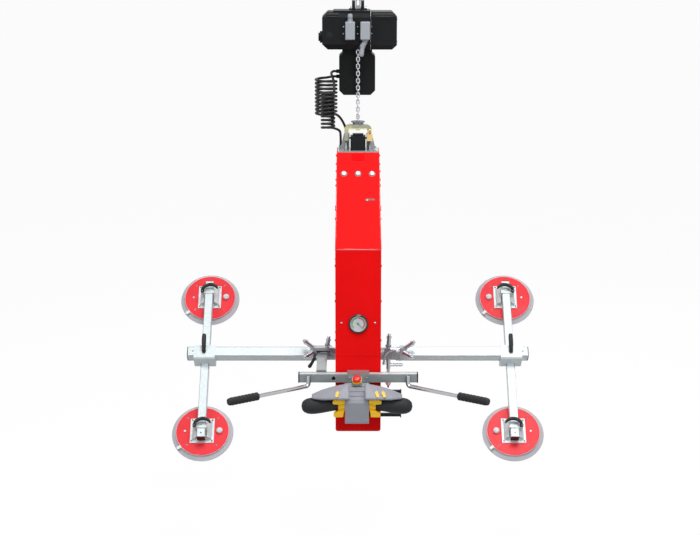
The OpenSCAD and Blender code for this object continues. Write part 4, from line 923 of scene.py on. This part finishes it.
screws("bracket_screws", "forged_steel",
       [((x, TUBE_FRONT - 4, TUBE_Z + 2), FRONT) for x in (-40, 40)], 9, 3, 4.2, "load")
piece("pressed_numbers", joined(
    turned([(0, 0), (3.2, 0), (3.2, 0.7), (0, 0.9)], (x, TUBE_FRONT, TUBE_Z), FRONT, 18)
    for x in (98, 172, -188)), "bracket_grey", "load", True)
screws("shell_screws", "forged_steel",
       [((SHELL_X + x, SHELL_Y + SHELL_LEAN * (z - SHELL_TOP), z), (0, -1, 0.1))
        for x in (-44, 44) for z in (-1858, -1926)], 6, 1.6, 2.8, "load")
for side, name in SIDES:
    x0, x1 = sorted((side * TUBE_INNER, side * TUBE_OUTER))
    # Painted light on the tube: its top drawn bright as a painted highlight, as if lit from above,
    # and its rear corner drawn as a dark line of painted shade
    for part, y0, y1, finish in (
            ("lit_top_highlight_", TUBE_FRONT + 0.6, TUBE_BACK - SEAM_W, "tube_top"),
            ("rear_corner_shade_", TUBE_BACK - SEAM_W, TUBE_BACK - 0.2, "gauge_black")):
        piece(part + name, slab(rectangle(x0, x1, y0, y1), (0, 0, TUBE_TOP - 0.5),
                                RIGHT, BACK, UP, 0.8), finish, "load")
piece("filter_bowl", turned([(8, 0), (13, 5), (13.5, 8), (13.5, 58), (12, 64), (7, 70),
                             (3, 72), (0, 72)], (FILTER_X, FILTER_Y, -1823), DOWN, 28),
      "rim_pale", "load", True)
piece("filter_bowl_ring", turned([(13, 0), (15.5, 1), (15.5, 8), (13, 9)],
                                 (FILTER_X, FILTER_Y, -1826), DOWN, 28), "nickel_plate", "load")
piece("filter_drain", turned([(5, 0), (5, 5), (3.5, 9), (0, 9)],
                             (FILTER_X, FILTER_Y, -1894.5), DOWN, 16), "gauge_black", "load")


# Tilting frame
LEAN = math.radians(45)
AXIS_Y, AXIS_Z = -73, -1747
FRAME_PANE = Vector((0, math.cos(LEAN), -math.sin(LEAN)))
FRAME_UP = Vector((0, math.sin(LEAN), math.cos(LEAN)))
FRAME_FRONT = -FRAME_PANE
BEAM_START, BEAM_END, BEAM_HALF = 236.0, 840.0, 25.0
BEAM_STOP, BEAM_STOP_Y = 816.0, -28.2
ARM_X, ARM_Y, ARM_END, ARM_HALF = 758.0, 48.0, 440.0, 20.0
ARM_STOP, ARM_STOP_Y = 420.0, 24.8
ARM_ENDS = ((-1, "foot"), (1, "top"))
CORNER_W, CORNER_PROUD = 2.4, 0.1
# The carriage clamp's pivot, and the way out and up from it of its handle's middle line
CLAMP_Y, CLAMP_Z = -31, -4
CLAMP_PATH = ((11, 2), (18, 20), (26, 40), (28.5, 56), (30.5, 73), (31, 80))


def in_frame(x, y, z):
    """A point of the tilting frame's own space, where Y runs to the pane and Z up the arms."""
    c, s = math.cos(LEAN), math.sin(LEAN)
    return Vector((x, AXIS_Y + c * y + s * z, AXIS_Z - s * y + c * z))


def corner_shade_strips(name, centre, half, along, start, stop, body):
    """The rolled corners of a square tube of the frame, as darker strips a hair proud of its faces:
    painted shade.
    """
    shapes = []
    outer, inner = half + CORNER_PROUD, half - CORNER_W
    for a in (-1, 1):
        for b in (-1, 1):
            square = [(a * outer, b * outer), (a * inner, b * outer),
                      (a * inner, b * inner), (a * outer, b * inner)]
            loops = []
            for place in (start, stop):
                loops.append([in_frame(centre[0] + p, centre[1] + q, place) if along == "z"
                              else in_frame(place, centre[0] + p, centre[1] + q)
                              for p, q in square])
            shapes.append(rings(loops))
    piece(name, joined(shapes), "edge_grey", body)


def arm_cap(name, side, end, body):
    """The stepped cap on one end of a cup arm."""
    steps = ((20.1, 0.2), (20.1, 2.2), (18.5, 3.4))
    corners = ((-1, -1), (1, -1), (1, 1), (-1, 1))
    loops = [[in_frame(side * ARM_X + x * half, ARM_Y + y * half, end * (ARM_END + height))
              for x, y in corners] for half, height in steps]
    piece(name, rings(loops), "gauge_black", body)


def stop_socket(name, x, y, z, body):
    """The dark hexagon in the head of a stop screw: painted shade of its socket."""
    piece(name, turned(disc(3.4, 0.4), in_frame(x, y, z), FRAME_FRONT, 6), "gauge_black", body)


for side, name in SIDES:
    carriage = "carriage_" + name
    corner_shade_strips("arm_corners_" + name, (side * ARM_X, ARM_Y), ARM_HALF, "z",
                  -ARM_END + 4, ARM_END - 4, carriage)
    corner_shade_strips("beam_corners_" + name, (0.0, 0.0), BEAM_HALF, "x",
                  *sorted((side * BEAM_START, side * (BEAM_END - 1))), "frame")
    for end, word in ARM_ENDS:
        arm_cap("arm_cap_%s_%s" % (name, word), side, end, carriage)
for side, name in SIDES:
    carriage = "carriage_" + name
    stop_socket("beam_stop_socket_" + name, side * BEAM_STOP, BEAM_STOP_Y, 0.0, "frame")
    for end, word in ARM_ENDS:
        stop_socket("arm_stop_socket_%s_%s" % (word, name),
                    side * ARM_X, ARM_STOP_Y, end * ARM_STOP, carriage)
    handle = smooth_path([in_frame(side * ARM_X - 2, CLAMP_Y - out, CLAMP_Z + up)
                          for out, up in CLAMP_PATH], 3)
    # Finger grooves: every other ring is drawn in
    thick = [0.85 + 0.25 * math.sin(math.pi * k / (len(handle) - 1)) * (1 if k % 2 else 0.86)
             for k in range(len(handle))]
    piece("clamp_grip_" + name, swept(handle, 21.0, 16, thick), "lever_black",
          "clamp_lever_" + name, True)


# Suction cups
CUP_REACH, DISC_Y = 381.0, 91.0
CUPS = (("upper_left", -1, 1), ("upper_right", 1, 1),
        ("lower_left", -1, -1), ("lower_right", 1, -1))
TAB_ANGLE, TAB_REACH = math.radians(218), 139
BRACKET_FACE = DISC_Y - 6 - 4.1
PIVOT_X, PIVOT_Y, PIVOT_Z = 32.3, 10.0, -6
# The cup lever's arch: its radius, its middle from the pivot, and its first angle and sweep
ARCH_R, ARCH_X, ARCH_Y, ARCH_Z = 44, -41.35, -1.3, -15.05
ARCH_START, ARCH_SWEEP = 160, 124
ARCH_THICK = (0.62, 0.78, 0.92, 1.0, 1.04, 1.02, 0.98, 0.95, 0.94, 0.95,
              0.98, 1.0, 0.98, 0.92, 0.86, 0.80, 0.74, 0.66, 0.5)


def cup_lever_path(x, z, side):
    """The middle line of a cup lever's arched grip."""
    made = []
    last = len(ARCH_THICK) - 1
    for k in range(last + 1):
        a = math.radians(ARCH_START - ARCH_SWEEP * k / last)
        made.append(in_frame(x + side * (PIVOT_X + ARCH_X - ARCH_R * math.cos(a)), ARCH_Y,
                             z + PIVOT_Z + ARCH_Z + ARCH_R * math.sin(a)))
    return made


for where, side, high in CUPS:
    body, lever = "cup_" + where, "lever_" + where
    x, z = side * ARM_X, high * CUP_REACH
    place = in_frame(x + TAB_REACH * math.cos(TAB_ANGLE), DISC_Y + 6,
                     z + TAB_REACH * math.sin(TAB_ANGLE))
    out = Vector((math.cos(TAB_ANGLE), 0, 0)) + FRAME_UP * math.sin(TAB_ANGLE)
    across = Vector((-math.sin(TAB_ANGLE), 0, 0)) + FRAME_UP * math.cos(TAB_ANGLE)
    piece("lip_tab_" + where, slab(rounded(16, 24, 5), place, across, out, FRAME_FRONT, 5, 1.2),
          "white_plastic", body)
    screws("disc_screws_" + where, "bar_chrome",
           [(in_frame(x + u, DISC_Y, z + v), FRAME_FRONT) for u in (-72, 72) for v in (-72, 72)],
           9, 3, 4, body)
    piece("valve_label_" + where, turned([(0, 0), (9, 0), (8.4, 1.0), (0, 1.2)],
                                         in_frame(x - side * 84, DISC_Y - 19, z), FRAME_FRONT, 24),
          "white_plastic", body, True)
    # A pale pink ring at the disc's edge: a painted highlight along its rim
    piece("disc_rim_" + where,
          turned([(125.6, 0.0), (126.4, 2.0), (129.2, 3.4), (130.0, 2.0), (129.6, 0.0)],
                 in_frame(x, DISC_Y + 4.5, z), FRAME_FRONT, 96), "rim_pale", body, True)
    # Dark discs in the bracket's holes: painted shade
    piece("bracket_holes_" + where, joined(
        turned(disc(3.6, 0.5), in_frame(x + u, BRACKET_FACE, z + v), FRAME_FRONT, 18)
        for u in (-49, 49) for v in (-56, 56)), "gauge_black", body)
    piece("lever_grip_" + where, swept(cup_lever_path(x, z, side), 17.0, 16, ARCH_THICK),
          "lever_black", lever, True)
    screws("lever_screw_" + where, "forged_steel",
           [(in_frame(x + side * PIVOT_X, PIVOT_Y, z + PIVOT_Z), FRAME_FRONT)], 9, 3.5, 4, lever)
